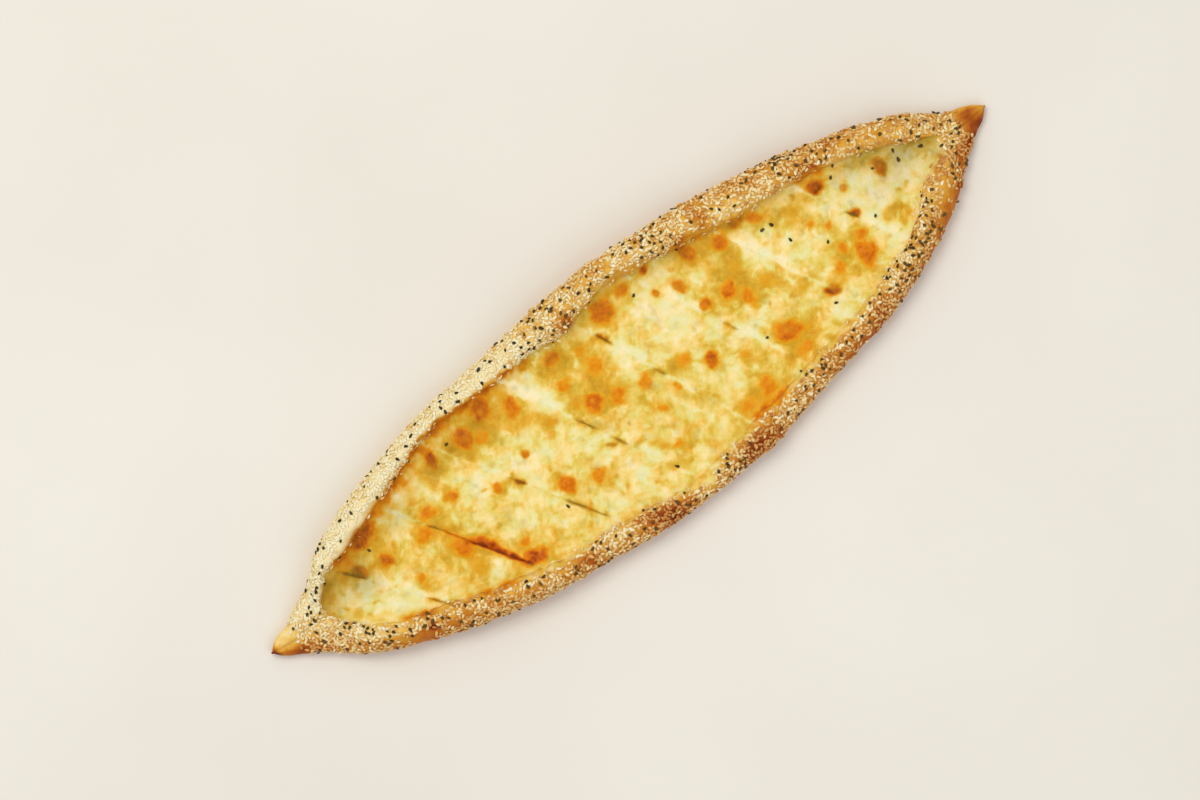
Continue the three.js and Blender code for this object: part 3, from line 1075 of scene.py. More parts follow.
@dataclass
class CheeseLayer:
    """The melted cheese: a layer with browned blisters, one piece for each slice."""

    along: float = 0.5
    columns: int = 190
    side_columns: int = 4
    base_columns: int = 10
    tuck: float = 1.4
    end_opening: float = 3.0
    flecks: int = 80
    relief: Grain = field(default_factory=lambda: Grain(21))
    warp: Grain = field(default_factory=lambda: Grain(22))
    blisters: tuple[Blister, ...] = ()
    skin: Skin = field(default_factory=Skin)
    pieces: list[Object] = field(default_factory=list)

    def __post_init__(self) -> None:
        """Adds small flecks to the blisters, spread by a seeded rule."""
        rng = np.random.default_rng(5)
        made = list(BLISTERS)
        while len(made) < len(BLISTERS) + self.flecks:
            x = float(rng.uniform(-178, 182))
            y = mix(float(lip_y(FRONT, x)), float(lip_y(BACK, x)), float(rng.uniform(0.03, 0.97)))
            radius = 0.8 + 1.5 * float(rng.random()) ** 2
            golden = float(self.gold(np.array([x]), np.array([y]))[0])
            if rng.random() > 0.2 + 0.9 * golden:
                continue
            if any(math.hypot(b.x - x, b.y - y) < 0.8 * (b.radius + radius) for b in made):
                continue
            brown = float(rng.uniform(0.12, 0.4))
            stretch, turn = float(rng.uniform(1, 2.4)), float(rng.uniform(0, 180))
            made.append(Blister(x, y, radius, brown, 0.15 * radius, stretch, turn))
        self.blisters = tuple(made)

    def gold(self, x: Field, y: Field) -> Field:
        """How golden the plain cheese is.

        Args:
            x: Places along the bread.
            y: Places across it.

        Returns:
            0 where it is milky, and up to 1, for each place.
        """
        spots = level_places(x, y)
        total = 0.39 + 0.33 * self.relief.layered(spots + 300, 13, 2)
        x, y = x + 4 * self.warp.at(spots + 500, 9), y + 4 * self.warp.at(spots + 540, 9)
        for cloud in CLOUDS:
            total = total + 0.9 * cloud.gold * cloud.strength(x, y)
        return steepened(total, 1.9)

    def olive(self, x: Field, y: Field) -> Field:
        """How far the plain cheese is darker and greener, in part as painted shade near the ends.

        Args:
            x: Places along the bread.
            y: Places across it.

        Returns:
            0 or more, for each place.
        """
        total = 0.2 * smooth(self.warp.layered(level_places(x, y) + 700, 6, 3), 0.1, 0.7)
        for cloud in CLOUDS:
            total = total + cloud.olive * cloud.strength(x, y)
        return total

    def end(self, way: int) -> float:
        """x where the cheese ends, under the dough, towards one point.

        Args:
            way: 1 for the +X point and -1 for the -X one.

        Returns:
            The place along the bread.
        """
        x = np.arange(0, HALF, 0.05)
        return way * float(x[opening(way * x) > self.end_opening].max())

    def rings(self, x: Field) -> dict[str, Field]:
        """Rings round the layer at each x, up the front, over the top and back under it.

        Args:
            x: Places along the bread.

        Returns:
            Places and a mask of the top, each by ring and by column.
        """
        x = x[:, None]
        tuck = self.tuck * smooth(opening(x), self.end_opening, 10)
        front, back = lip_y(FRONT, x) - tuck, lip_y(BACK, x) + tuck
        low = BASE_THICKNESS + 0.3
        t = steps(self.side_columns)
        up = (front + 0 * t, mix(low, CHEESE_TOP, t) + 0 * x)
        down = (back + 0 * t, mix(CHEESE_TOP, low, t) + 0 * x)
        t = steps(self.columns)
        over = (mix(front, back, t), CHEESE_TOP + 0 * t + 0 * x)
        t = np.linspace(0, 1, self.base_columns + 1)[None]
        below = (mix(back, front, t), low + 0 * t + 0 * x)
        parts = (up, over, down, below)
        y, z = (np.concatenate([p[n] for p in parts], axis=1) for n in range(2))
        top = np.zeros_like(y)
        top[:, self.side_columns : self.side_columns + self.columns + 1] = 1
        full_x = np.broadcast_to(x, y.shape)
        return {"places": np.stack([full_x, y, z], axis=-1), "top": top}

    def strands(self, x: Field, y: Field, turn: float) -> Field:
        """Relief drawn out in one direction, as melted shreds are.

        Args:
            x: Places along the bread.
            y: Places across it.
            turn: Direction of the shreds, in degrees from +X.

        Returns:
            One value for each place, of about -1 to 1.
        """
        c, s = math.cos(math.radians(turn)), math.sin(math.radians(turn))
        spots = np.stack([(x * c + y * s) / 3.4, y * c - x * s, np.full_like(x, turn)], axis=-1)
        return self.relief.layered(spots, 2.2, 2)

    def plain(self, x: Field, y: Field) -> CheeseTop:
        """The cheese with its folds up to the lips, its fine relief and its mottled gold.

        Args:
            x: Places along the bread.
            y: Places across it.

        Returns:
            The top, before it is seared, blistered and cut.
        """
        flat = level_places(x, y)
        bend = np.stack([self.warp.layered(flat, 6, 3), self.warp.layered(flat + 40, 6, 3)], axis=-1)
        bent = flat + np.concatenate([2.4 * bend, np.zeros_like(x)[..., None]], axis=-1)
        in_front, in_back = np.maximum(y - lip_y(FRONT, x), 0), np.maximum(lip_y(BACK, x) - y, 0)
        shreds = np.where(self.warp.at(flat + 400, 24) > 0, self.strands(x, y, 55), self.strands(x, y, -20))

        z = cheese_level(x, y) + mix(2.6, 1.6, smooth(x, -50, -20)) * np.exp(-in_back / 2)
        z += 2.5 * np.exp(-in_front / 2.2)
        z += 0.34 * self.relief.at(flat, 6) + 0.28 * self.relief.at(bent, 2.8) + 0.16 * shreds
        z += 0.1 * self.relief.at(bent, 1.3)

        macro = self.gold(x, y)
        gold = macro + 0.42 * self.relief.layered(bent, 5.5, 3) + 0.2 * shreds
        gold -= 0.3 * smooth(self.relief.layered(bent + 200, 6, 3), 0.15, 0.6)
        gold += 0.1 * np.exp(-np.minimum(in_front, in_back) / 3.0)
        smudge = smooth(self.warp.layered(bent + 120, 5, 3), 0.3, 0.8) * smooth(macro, 0.3, 0.8)
        brown = 0.14 * smudge + 0.03 * smooth(macro, 0.6, 1.0)
        # Painted shade: darker and greener along the back lip, where the rim shades the cheese.
        olive = self.olive(x, y) + 0.17 * hump(in_back, 10)
        return CheeseTop(x, y, in_front, in_back, flat, bend, bent, z, brown, gold, olive)

    def sear_and_shade(self, top: CheeseTop) -> None:
        """Browns the cheese beside the seared stretches of the lips, which on the back's left is painted
        shade as well as browning.

        Args:
            top: The cheese, which this changes.
        """
        uneven = 1 + 0.9 * self.warp.layered(top.flat, 8, 2)
        crisp = np.clip(0.8 + 0.9 * self.warp.layered(top.flat + 33, 4.5, 3), 0.1, 1.5)
        back_reach = mix(4.6, 2.6, smooth(top.x, -112, -94))
        for side, inwards, reach in ((BACK, top.in_back, back_reach), (FRONT, top.in_front, 1.8)):
            seared_and_shaded = sum(s.strength(np.full_like(top.x, side.sign), top.x) for s in SEARS_AND_SHADE)
            # On the back's left this browned band also stands for painted shade under the rim.
            toasted = seared_and_shaded * crisp * np.exp(-inwards / np.maximum(reach * uneven, 0.5))
            top.brown += 0.78 * np.tanh(1.4 * toasted)

    def add_blister(self, top: CheeseTop, blister: Blister) -> None:
        """Raises and browns the cheese at one blister.

        Args:
            top: The cheese, which this changes.
            blister: The blister.
        """
        reach = 2.4 * blister.radius * blister.stretch
        near = (np.abs(top.x - blister.x) < reach) & (np.abs(top.y - blister.y) < reach)
        if not near.any():
            return
        flat, bent = top.flat[near], top.bent[near]
        swing = 0.28 * blister.radius
        off_x = top.x[near] - blister.x + top.bend[near, 0] * swing
        off_y = top.y[near] - blister.y + top.bend[near, 1] * swing
        away = blister.away(off_x, off_y)
        away += 0.16 * smooth(away, 0.1, 0.7) * self.warp.layered(flat + 29, 2.6, 2)
        core = 1 - smooth(away, 0.36, 1.2)
        halo = hump(away, 1.4)

        dome = np.clip(1 - away**2, 0, 1) ** 0.9
        crinkle = self.relief.layered(bent + 70, 1.8, 2)
        top.z[near] += blister.rise * dome * (1 + 0.2 * self.relief.at(bent, 2.0))
        top.z[near] -= 0.1 * blister.rise * hump(away - 1.15, 0.2)
        top.z[near] += 0.14 * core * crinkle * min(1.0, blister.rise)

        patch = 0.96 + 0.4 * self.warp.layered(flat + 9, 3.6, 3) + 0.16 * crinkle
        dull = float(1 - smooth(blister.brown, 0.28, 0.48))
        top.brown[near] = np.maximum(top.brown[near], (1 - 0.6 * dull) * blister.brown * core * patch)
        top.brown[near] += 0.1 * blister.brown * halo * (1 - core)
        top.gold[near] += (0.5 + 0.3 * dull) * halo * min(1.0, 1.4 * blister.brown)
        spread = np.clip(1 + 1.5 * self.warp.layered(flat + 19, 3, 2), 0, 1.4)
        top.olive[near] += (0.12 * dull + 0.8 * blister.olive * spread) * core

    def trace_cut(self, top: CheeseTop, cut: Cut) -> None:
        """Colours the cheese along a cut: smeared pale, run together again, or, where it is open, a dark
        olive line of painted shade for the gap.

        Args:
            top: The cheese, which this changes.
            cut: The cut.
        """
        past = cut.past(top.x, top.y) + 1.6 * self.warp.layered(top.flat + 60, 9, 3)
        wide = 1.9 * (1 + 0.6 * self.warp.at(top.flat + 80, 8))
        pale = cut.milkiness(top.y) * hump(past - 2.0, wide)
        pale *= 0.7 + 0.9 * self.warp.at(top.flat, 5)
        off = np.maximum(np.abs(cut.past(top.x, top.y)) - CUT_WIDTH / 2, 0)
        shut = 1 - cut.openness(top.y)
        healed = shut * hump(off, 0.8)
        healed *= np.clip(0.4 + 1.3 * self.warp.at(top.flat + 90, 7), 0, 1)
        top.gold -= 0.55 * pale + 0.5 * healed
        top.brown -= 0.3 * pale + 0.4 * healed
        top.olive -= 0.2 * pale
        # Painted shade: a soft olive-brown line along the open stretches, for the dark gap.
        gap_shade = (1 - shut) * hump(off, 0.7 * (1 + 0.9 * self.warp.at(top.flat + 50, 4)))
        top.gold += 0.3 * (1 - shut) * hump(off, 1.6)
        top.brown += 0.3 * gap_shade
        top.olive += 0.7 * gap_shade * np.clip(0.8 + 0.9 * self.warp.at(top.flat, 4), 0.1, 1.1)

    def char(self, top: CheeseTop, cut: Cut) -> None:
        """Burns the cheese beside one cut, further on its +X side than on the other.

        Args:
            top: The cheese, which this changes.
            cut: The cut.
        """
        y, past = top.y, cut.past(top.x, top.y)
        off = np.maximum(np.abs(past) - CUT_WIDTH / 2, 0)
        burnt = smooth(y, -44, -38) * mix(1.0, 0.6, smooth(y, -20, -14)) * (1 - smooth(y, -7, -1))
        burnt = burnt * (1 + 0.4 * self.warp.layered(top.flat + 15, 4, 2))
        blunt = mix(1.8, 4.6, smooth(y, -37, -25)) * mix(1.0, 0.3, smooth(y, -19, -11))
        reach = np.where(past > 0, blunt, 1.5)
        reach *= 1 + 0.5 * self.warp.at(top.flat + 25, 6)
        charred = burnt * (1 - smooth(off, 0.3 * reach, 1.2 * reach))
        top.brown = np.maximum(top.brown, np.maximum(0.8 * charred, burnt * hump(off, 0.9)))
        top.olive -= 0.7 * charred

    def surface(self, x: Field, y: Field) -> dict[str, Field]:
        """Height and colour of the cheese, seen from above.

        Args:
            x: Places along the bread.
            y: Places across it.

        Returns:
            z, brown, gold and olive, one value of each for each place.
        """
        top = self.plain(x, y)
        self.sear_and_shade(top)
        for blister in self.blisters:
            self.add_blister(top, blister)
        for cut in CUTS:
            self.trace_cut(top, cut)
        self.char(top, CHARRED_CUT)
        brown, olive = np.clip(top.brown, 0, 1), np.clip(top.olive, 0, 1)
        return {"z": top.z, "brown": brown, "gold": steepened(top.gold, 2.0), "olive": olive}

    def build_slice(self, number: int) -> Object:
        """Makes one slice's cheese.

        Args:
            number: The slice, from 1 at the -X point.

        Returns:
            The piece.
        """
        cuts = slice_cuts(number)
        low, high = slice_reach(cuts)
        low, high = max(low, self.end(-1)), min(high, self.end(1))
        x = np.linspace(low, high, max(8, round((high - low) / self.along)))
        rings = self.rings(x)
        places = rings["places"].copy()
        found = self.surface(places[..., 0], places[..., 1])
        over = rings["top"] > 0.5
        places[..., 2] = np.where(over, found["z"], places[..., 2])
        painted = {name: found[name] for name in ("brown", "gold", "olive")}
        mesh = tube(f"melted_cheese_{number}", places, painted)
        cut_slice(mesh, cuts, soften=0.4)
        self.gather_skin(places, found["brown"], over, cuts)
        piece = finish_piece(mesh)
        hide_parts(f"cheese_slice_{number}")
        return piece

    def gather_skin(self, places: Field, brown: Field, over: Field, cuts: CutPair) -> None:
        """Keeps the places of this slice beside the lips, where seeds from the rim can have fallen.

        Args:
            places: The final places.
            brown: How browned the cheese is.
            over: Whether each place is on top.
            cuts: The slice's cuts.
        """
        x, y = places[..., 0], places[..., 1]
        front, back = (side.sign * (lip_y(side, x) - y) for side in SIDES)
        sign = np.where(front < back, -1.0, 1.0)
        across = -np.minimum(front, back) / RIM_WIDTH
        keep = over & (across < -0.01) & (across > -0.4) & inside_slice(cuts, x, y, clear=0.5)
        self.skin.add(keep, places, {"sign": sign, "across": across}, 0.25 + 0.5 * brown)

    def build(self) -> None:
        """Makes every slice's cheese."""
        self.pieces = [self.build_slice(number) for number in range(1, SLICES + 1)]

    def dress(self) -> None:
        """Gives the cheese its browned top and its plain cut faces."""
        dress_pieces(self.pieces, MELTED_CHEESE, CUT_CHEESE)


# Where the cheese has run furthest over the front lip
SPILL = Bump(1, 7, 0.5)


@dataclass
class Crust:
    """The dough: a flat base with a rolled rim, one piece for each slice.

    cheese is the cheese that lies in it, for the colours of what has run over its lip. bias is how far the
    dough's skin lies below the solid's, to leave room for its relief. side_shift sets the relief of the two
    lips apart, and heart is the height that the blunt ends close at, as a share of the rim's.
    """

    cheese: CheeseLayer
    along: float = 0.7
    floor_columns: int = 10
    wall_columns: int = 4
    arch_columns: int = 60
    foot_columns: int = 12
    base_columns: int = 14
    tuck: float = 1.6
    bias: float = -1.25
    side_shift: float = 40.0
    heart: float = 0.4
    seed_reach: float = 207.5
    lumps: Grain = field(default_factory=lambda: Grain(11))
    pores: Grain = field(default_factory=lambda: Grain(12))
    skin: Skin = field(default_factory=Skin)
    pieces: list[Object] = field(default_factory=list)

    def tongue(self, x: Field) -> Field:
        """How far the floor has risen to close the trough at one of the points, from 0 to 1."""
        return 1 - smooth(opening(x), CLOSED_OPENING, 11.0)

    def half_section(self, side: Side, x: Field) -> dict[str, Field]:
        """One half of the section at each x, from the middle of the trough round the rim to the middle below.

        Args:
            side: The side of the bread.
            x: Places along the bread.

        Returns:
            y, z, across and sign, each by ring and by column.
        """
        x = x[:, None]
        closed = closedness(x)
        crest = side.top(x)
        seam = SEAM_SHARE * (FRONT.top(x) + BACK.top(x)) / 2
        lip = lip_y(side, x)
        outer = side.sign * side.outer(x)
        middle = (lip_y(FRONT, x) + lip_y(BACK, x)) / 2
        lip_z = mix(CHEESE_TOP + LIP_HEIGHT, seam, closed)
        under_z = mix(CHEESE_TOP + 0.2, seam, closed)
        floor_z = mix(BASE_THICKNESS, seam, self.tongue(x))
        bulge_z = BULGE_SHARE * crest
        rise = mix(crest - (lip_z + bulge_z) / 2, 0.16 * crest, closed)
        inset = np.minimum(FOOT_INSET, 0.35 * np.abs(outer - lip))
        wall = lip + side.sign * self.tuck * (1 - self.tongue(x))
        under_z = np.maximum(under_z, floor_z)

        t = steps(self.floor_columns)
        floor = (mix(middle, wall, t), floor_z + 0 * t, mix(-1.0, 0.0, closed) + 0 * t)
        t = steps(self.wall_columns)
        inside = (wall + 0 * t, mix(floor_z, under_z, t), mix(-0.6, 0.0, closed) + 0 * t)
        under = (mix(wall, lip, t), under_z + 0 * t, mix(-0.3, 0.0, closed) + 0 * t)
        edge = (lip + 0 * t, mix(under_z, lip_z, t), mix(mix(-0.2, 0, t), 0.0, closed))
        turn = math.pi * steps(self.arch_columns)
        rolled = (1 - np.cos(turn)) / 2
        domed = smooth(closed, 0.4, 1)
        share = mix(rolled, np.sin(turn / 2), domed)
        rolled_z = mix(lip_z, bulge_z, rolled) + rise * np.sin(turn)
        domed_z = bulge_z + (seam - bulge_z) * np.cos(turn / 2)
        arch = (mix(lip, outer, share), mix(rolled_z, domed_z, domed), share + 0 * x)
        turn = math.pi / 2 * steps(self.foot_columns)
        foot = (
            outer - side.sign * inset * (1 - np.cos(turn)),
            bulge_z * (1 - np.sin(turn)),
            1 + turn / math.pi * 2 + 0 * x,
        )
        t = np.linspace(0, 1, self.base_columns + 1)[None]
        base_middle = (FRONT.sign * FRONT.outer(x) + BACK.outer(x)) / 2
        base = (mix(outer - side.sign * inset, base_middle, t), 0 * t + 0 * x, 2 + t + 0 * x)
        parts = (floor, inside, under, edge, arch, foot, base)
        y, z, across = (np.concatenate([p[n] for p in parts], axis=1) for n in range(3))
        return {"y": y, "z": z, "across": across, "sign": np.full_like(y, side.sign)}

    def rings(self, x: Field) -> dict[str, Field]:
        """Whole rings at each x, from the middle of the trough round by the front, and back by the back.

        Args:
            x: Places along the bread.

        Returns:
            Places, and across and sign, each by ring and by column.
        """
        front = self.half_section(FRONT, x)
        back = {key: values[:, ::-1] for key, values in self.half_section(BACK, x).items()}
        whole = {key: np.concatenate([front[key], back[key][:, 1:]], axis=1) for key in front}
        nose = np.sqrt(1 - np.clip((np.abs(x) - (HALF - NOSE)) / NOSE, 0, 0.999) ** 2)[:, None]
        heart_z = self.heart * BACK.top(x)[:, None]
        heart_y = (BACK.outer(x) - FRONT.outer(x))[:, None] / 2
        whole["z"] = mix(heart_z, whole["z"], nose)
        whole["y"] = mix(heart_y, whole["y"], mix(1, nose, 0.5))
        full_x = np.broadcast_to(x[:, None], whole["y"].shape)
        whole["places"] = np.stack([full_x, whole["y"], whole["z"]], axis=-1)
        return whole

    def relief(self, rings: dict[str, Field], normals: Field) -> Field:
        """Places after the dough's unevenness is added.

        Args:
            rings: The plain rings.
            normals: Their directions.

        Returns:
            The new places.
        """
        places, across, sign = rings["places"], rings["across"], rings["sign"]
        x = places[..., 0]
        shown = plateau(across, -0.1, 0.1, 1.6, 2.0)
        shown *= 1 - 0.8 * smooth(np.abs(x), HALF - 9, HALF - 2)
        lift = self.bias + 0.45 * self.lumps.at(places, 14) + 0.4 * self.lumps.at(places, 5.5)
        lift += 0.16 * self.pores.layered(places, 2.6, 2)
        for side in SIDES:
            for pleat in side.pleats:
                lift += np.where(sign == side.sign, pleat.crease(x, across), 0)
        for ridge in RIDGES:
            lift += ridge.height * ridge.strength(sign, x, across, 0.045)
        moved = places + normals * (lift * shown)[..., None]
        line = level_places(x, self.side_shift * sign)
        ripple = 0.8 * self.lumps.at(line, 7) + 0.4 * self.lumps.at(line, 3)
        lip = plateau(across, -0.7, -0.25, 0.02, 0.3) * (1 - closedness(x))
        moved[..., 1] += sign * ripple * lip
        return moved

    def side_bake_and_shade(self, sign: Field, x: Field, across: Field) -> Field:
        """How dark one side's dough is painted, before its finer unevenness: its baking, with painted light
        and shade.

        Args:
            sign: The side of each place.
            x: Place along the bread.
            across: Place across the rim.

        Returns:
            One value for each place.
        """
        # Painted light and shade as well as baking: the back is paler, most on the left where the light
        # falls, and the front's outer side darker, as in shade.
        dark = np.where(sign > 0, 0.24 + 0.12 * smooth(x, -70, 60), 0.34)
        dark = dark + np.where(sign > 0, 0.06, 0.1) * smooth(across, 0.25, 0.6)
        dark = dark + np.where(sign > 0, 0.04, 0.14) * smooth(across, 0.7, 1.2)
        return dark + spotted(BAKE_AND_SHADE_SPOTS, sign, x, across)

    def bake(self, rings: dict[str, Field], places: Field) -> Field:
        """How dark the dough is painted, from 0 to 1: its baking, with painted light and shade in places.

        Args:
            rings: The plain rings.
            places: The final places.

        Returns:
            One value for each place.
        """
        x, across, sign = places[..., 0], rings["across"], rings["sign"]
        own, other = self.side_bake_and_shade(sign, x, across), self.side_bake_and_shade(-sign, x, across)
        apart = mix(1.0, smooth(across, 0, 0.7), closedness(x))
        dark = mix((own + other) / 2, own, apart)
        dark = dark + 0.11 * self.lumps.layered(places + 50, 9, 3) + 0.08 * self.pores.layered(places, 3.5, 2)
        line = level_places(x, self.side_shift * sign)
        wide = np.where(sign > 0, mix(0.06, 0.12, smooth(x, -112, -96)), 0.07)
        reach = wide * (1 + 0.8 * self.pores.layered(line, 7, 2))
        lip = hump(np.maximum(across, 0), np.maximum(reach, 0.02)) * (1 - closedness(x))
        uneven = 0.75 + 0.5 * self.lumps.layered(line + 20, 6, 2)
        # A darker band along the lips where browned; on the back's left it is also painted shade under the
        # rim.
        seared_and_shaded = sum(sear_and_shade.strength(sign, x) for sear_and_shade in SEARS_AND_SHADE)
        dark = np.where(sign > 0, mix(dark, 0.58, np.clip(1.4 * lip * seared_and_shaded * uneven, 0, 1)), dark)
        dark = dark + np.where(sign > 0, 0, 0.5) * lip * seared_and_shaded * uneven
        for ridge in RIDGES:
            dark = dark + ridge.bake * ridge.strength(sign, x, across, 0.06)
        tip = smooth(self.tongue(x), 0.05, 0.4) * (across < 0) * (1 - closedness(x))
        dark = mix(dark, 0.28 + 0.12 * self.lumps.layered(places, 6, 2), tip)
        under = 0.5 + 0.3 * self.lumps.layered(places + 90, 26, 4)
        dark = mix(dark, under, smooth(across, 1.75, 2.05))
        return np.clip(dark, 0, 1)

    def melt(self, rings: dict[str, Field], places: Field) -> Field:
        """How much of the cheese has run over the folded lip, from 0 to 1.

        Args:
            rings: The plain rings.
            places: The final places.

        Returns:
            One value for each place.
        """
        x, across, sign = places[..., 0], rings["across"], rings["sign"]
        reach = np.where(sign > 0, BACK.melted * BACK.bare_strip(x), FRONT.melted * FRONT.bare_strip(x))
        reach = reach + np.where(sign < 0, bumps((SPILL,), x), 0)
        reach = reach + 0.09 * self.pores.layered(places + 30, 6, 3) + 0.02
        over = (1 - smooth(across - reach, -0.07, 0.07)) * (1 - closedness(x))
        return over * (0.8 + 0.5 * self.pores.layered(places + 60, 3, 2)) * (across > -1.5)

    def build_slice(self, number: int) -> Object:
        """Makes one slice's dough.

        Args:
            number: The slice, from 1 at the -X point.

        Returns:
            The piece.
        """
        cuts = slice_cuts(number)
        low, high = slice_reach(cuts)
        x = np.linspace(low, high, max(8, round((high - low) / self.along)))
        rings = self.rings(x)
        places = self.relief(rings, normals_of(rings["places"]))
        bake = self.bake(rings, places)
        painted = {"bake": bake, "melt": self.melt(rings, places)}
        covered = (painted["melt"] > 0.01) & (rings["across"] > -0.3)
        topping = self.cheese.surface(places[covered, 0], places[covered, 1])
        for name in ("brown", "gold", "olive"):
            painted[name] = np.zeros_like(bake)
            painted[name][covered] = topping[name]
        mesh = tube(f"dough_slice_{number}", places, painted)
        cut_slice(mesh, cuts, soften=0.15)
        self.gather_skin(rings, places, bake, cuts)
        piece = finish_piece(mesh)
        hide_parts(f"crust_slice_{number}")
        return piece

    def gather_skin(self, rings: dict[str, Field], places: Field, bake: Field, cuts: CutPair) -> None:
        """Keeps the places of this slice where seeds can lie.

        Args:
            rings: The plain rings.
            places: The final places.
            bake: How dark the dough is painted, by baking and by painted light and shade.
            cuts: The slice's cuts.
        """
        x, y = places[..., 0], places[..., 1]
        across = rings["across"]
        keep = (across >= -0.02) & (across < 1.3) & (np.abs(x) < self.seed_reach)
        self.skin.add(keep & inside_slice(cuts, x, y, clear=0.3), places, rings, bake)

    def build(self) -> None:
        """Makes every slice's dough."""
        self.pieces = [self.build_slice(number) for number in range(1, SLICES + 1)]

    def dress(self) -> None:
        """Gives the dough its baked skin, and its crumb at the cuts."""
        dress_pieces(self.pieces, BAKED_DOUGH, BREAD_CRUMB)


class SeedKind(Enum):
    """The two kinds of seed on the rim."""

    SESAME = "sesame_seeds"
    NIGELLA = "nigella_seeds"


# Places that seeds have taken, by cell
Taken = dict[tuple[int, int, int], list[Vector]]


@dataclass
class SeedScatter:
    """All the seeds of one kind, joined in one piece.

    size is a seed's length, width and thickness, and spacing the least distance between two, in millimetres.
    sink is the share of its thickness that lies in the dough, taper how much narrower its tip is, and lean
    how far it tips off the surface. stray lists the seeds that lie on the cheese, by x and y. tries is the
    number of places drawn for each seed, and cell the width of the boxes that neighbours are looked up in.
    """

    kind: SeedKind
    size: tuple[float, float, float]
    count: int
    spacing: float
    sink: float
    taper: float
    seed: int
    lean: float = 0.22
    stray: tuple[tuple[float, float], ...] = ()
    stray_bake: float = 0.3
    tries: int = 12
    cell: float = 2.5
    tone_spread: float = 0.17
    piece: Object | None = None

    def cover(self, skin: dict[str, Field]) -> Field:
        """How likely each place of the rim is to hold a seed.

        Args:
            skin: The rim's surface.

        Returns:
            A weight for each place.
        """
        places, across, sign = skin["places"], skin["across"], skin["sign"]
        x = places[:, 0]
        inner = np.where(sign > 0, BACK.bare_strip(x), FRONT.bare_strip(x))
        inner = inner + 0.14 * Grain(44).layered(places, 6, 3)
        outer = 1.02 + 0.12 * Grain(45).layered(places, 9, 2)
        strewn = mix(0.05 * (across > -0.06), 1.0, smooth(across - inner, -0.04, 0.06))
        body = np.maximum(strewn, closedness(x)) * (1 - smooth(across - outer, -0.1, 0.1))
        likely = np.clip(1 + spotted(SEED_SPOTS, sign, x, across), 0, None)
        likely *= np.clip(1 + 0.9 * Grain(41).layered(places, 8, 3), 0.05, None)
        edge = HALF - 15 + 3 * Grain(46).at(places, 6)
        ends = 1 - smooth(np.abs(x) - edge, -3, 1.5)
        if self.kind is SeedKind.NIGELLA:
            likely = np.clip(0.34 * likely + spotted(NIGELLA_SPOTS, sign, x, across), 0, None)
            likely *= 1 - 0.05 * smooth(x, -160, -140) * (1 - smooth(x, -70, -45)) * (sign > 0)
            likely *= np.clip(1 + 1.1 * Grain(42).layered(places, 6, 2), 0, None)
        return np.clip(likely, 0, None) * body * ends * skin["area"]

    def throw(self, skin: dict[str, Field], taken: Taken) -> list[int]:
        """Chooses places for the seeds, none too close to another.

        Args:
            skin: The rim's surface.
            taken: Places already taken, by cell, which this adds to.

        Returns:
            Indices into the surface's places.
        """
        rng = np.random.default_rng(self.seed)
        weight = self.cover(skin)
        order = rng.choice(len(weight), size=self.tries * self.count, p=weight / weight.sum())
        chosen: list[int] = []
        for index in order:
            at = Vector(skin["places"][index])
            key = tuple(int(math.floor(c / self.cell)) for c in at)
            around = itertools.product((-1, 0, 1), repeat=3)
            others = (o for step in around for o in taken.get(tuple(k + s for k, s in zip(key, step)), ()))
            if any((o - at).length < self.spacing for o in others):
                continue
            taken.setdefault(key, []).append(at)
            chosen.append(int(index))
            if len(chosen) == self.count:
                break
        log.info("%s: %d of %d placed", self.kind.value, len(chosen), self.count)
        return chosen

    def one_seed(self) -> Mesh:
        """A single seed of unit size.

        Returns:
            Its mesh, long in X.
        """
        bm = bmesh.new()
        if self.kind is SeedKind.SESAME:
            bmesh.ops.create_uvsphere(bm, u_segments=6, v_segments=4, radius=0.5)
            bmesh.ops.rotate(bm, verts=bm.verts, matrix=Matrix.Rotation(math.pi / 2, 3, "Y"))
        else:
            bmesh.ops.create_icosphere(bm, subdivisions=2, radius=0.5)
        return mesh_from(bm, "one_seed")

    def repeated(self, count: int) -> Mesh:
        """Joins a number of unit seeds.

        Args:
            count: Number of seeds.

        Returns:
            One mesh that holds them all, at the origin.
        """
        single = put_in_scene("one_seed", self.one_seed())
        row = single.modifiers.new("row", "ARRAY")
        row.count = count
        row.use_relative_offset = False
        row.use_merge_vertices = False
        evaluated = single.evaluated_get(bpy.context.evaluated_depsgraph_get())
        mesh = bpy.data.meshes.new_from_object(evaluated)
        bpy.data.objects.remove(single)
        mesh.name = self.kind.value
        return mesh

    def shapes(self, mesh: Mesh, count: int, rng: np.random.Generator) -> Field:
        """The seeds' own forms, narrower towards +X, each a little different.

        Args:
            mesh: The joined unit seeds.
            count: Number of seeds.
            rng: Source of the draw.

        Returns:
            Places by seed and by vertex, about the origin, in millimetres.
        """
        local = (read_places(mesh).reshape(count, -1, 3) + (0.0, SHIFT_Y, 0.0)) * MM
        local[..., 1] *= 1 - self.taper * local[..., 0]
        local[..., 2] *= 1 - 0.6 * self.taper * local[..., 0]
        if self.kind is SeedKind.NIGELLA:
            own = 3 * np.arange(count)[:, None, None]
            local *= 1 + 0.18 * Grain(43).at(local + own, 0.45)[..., None]
        growth = rng.uniform(0.8, 1.15, (count, 1, 1)) * rng.uniform(0.9, 1.1, (count, 1, 3))
        return local * np.array(self.size) * growth

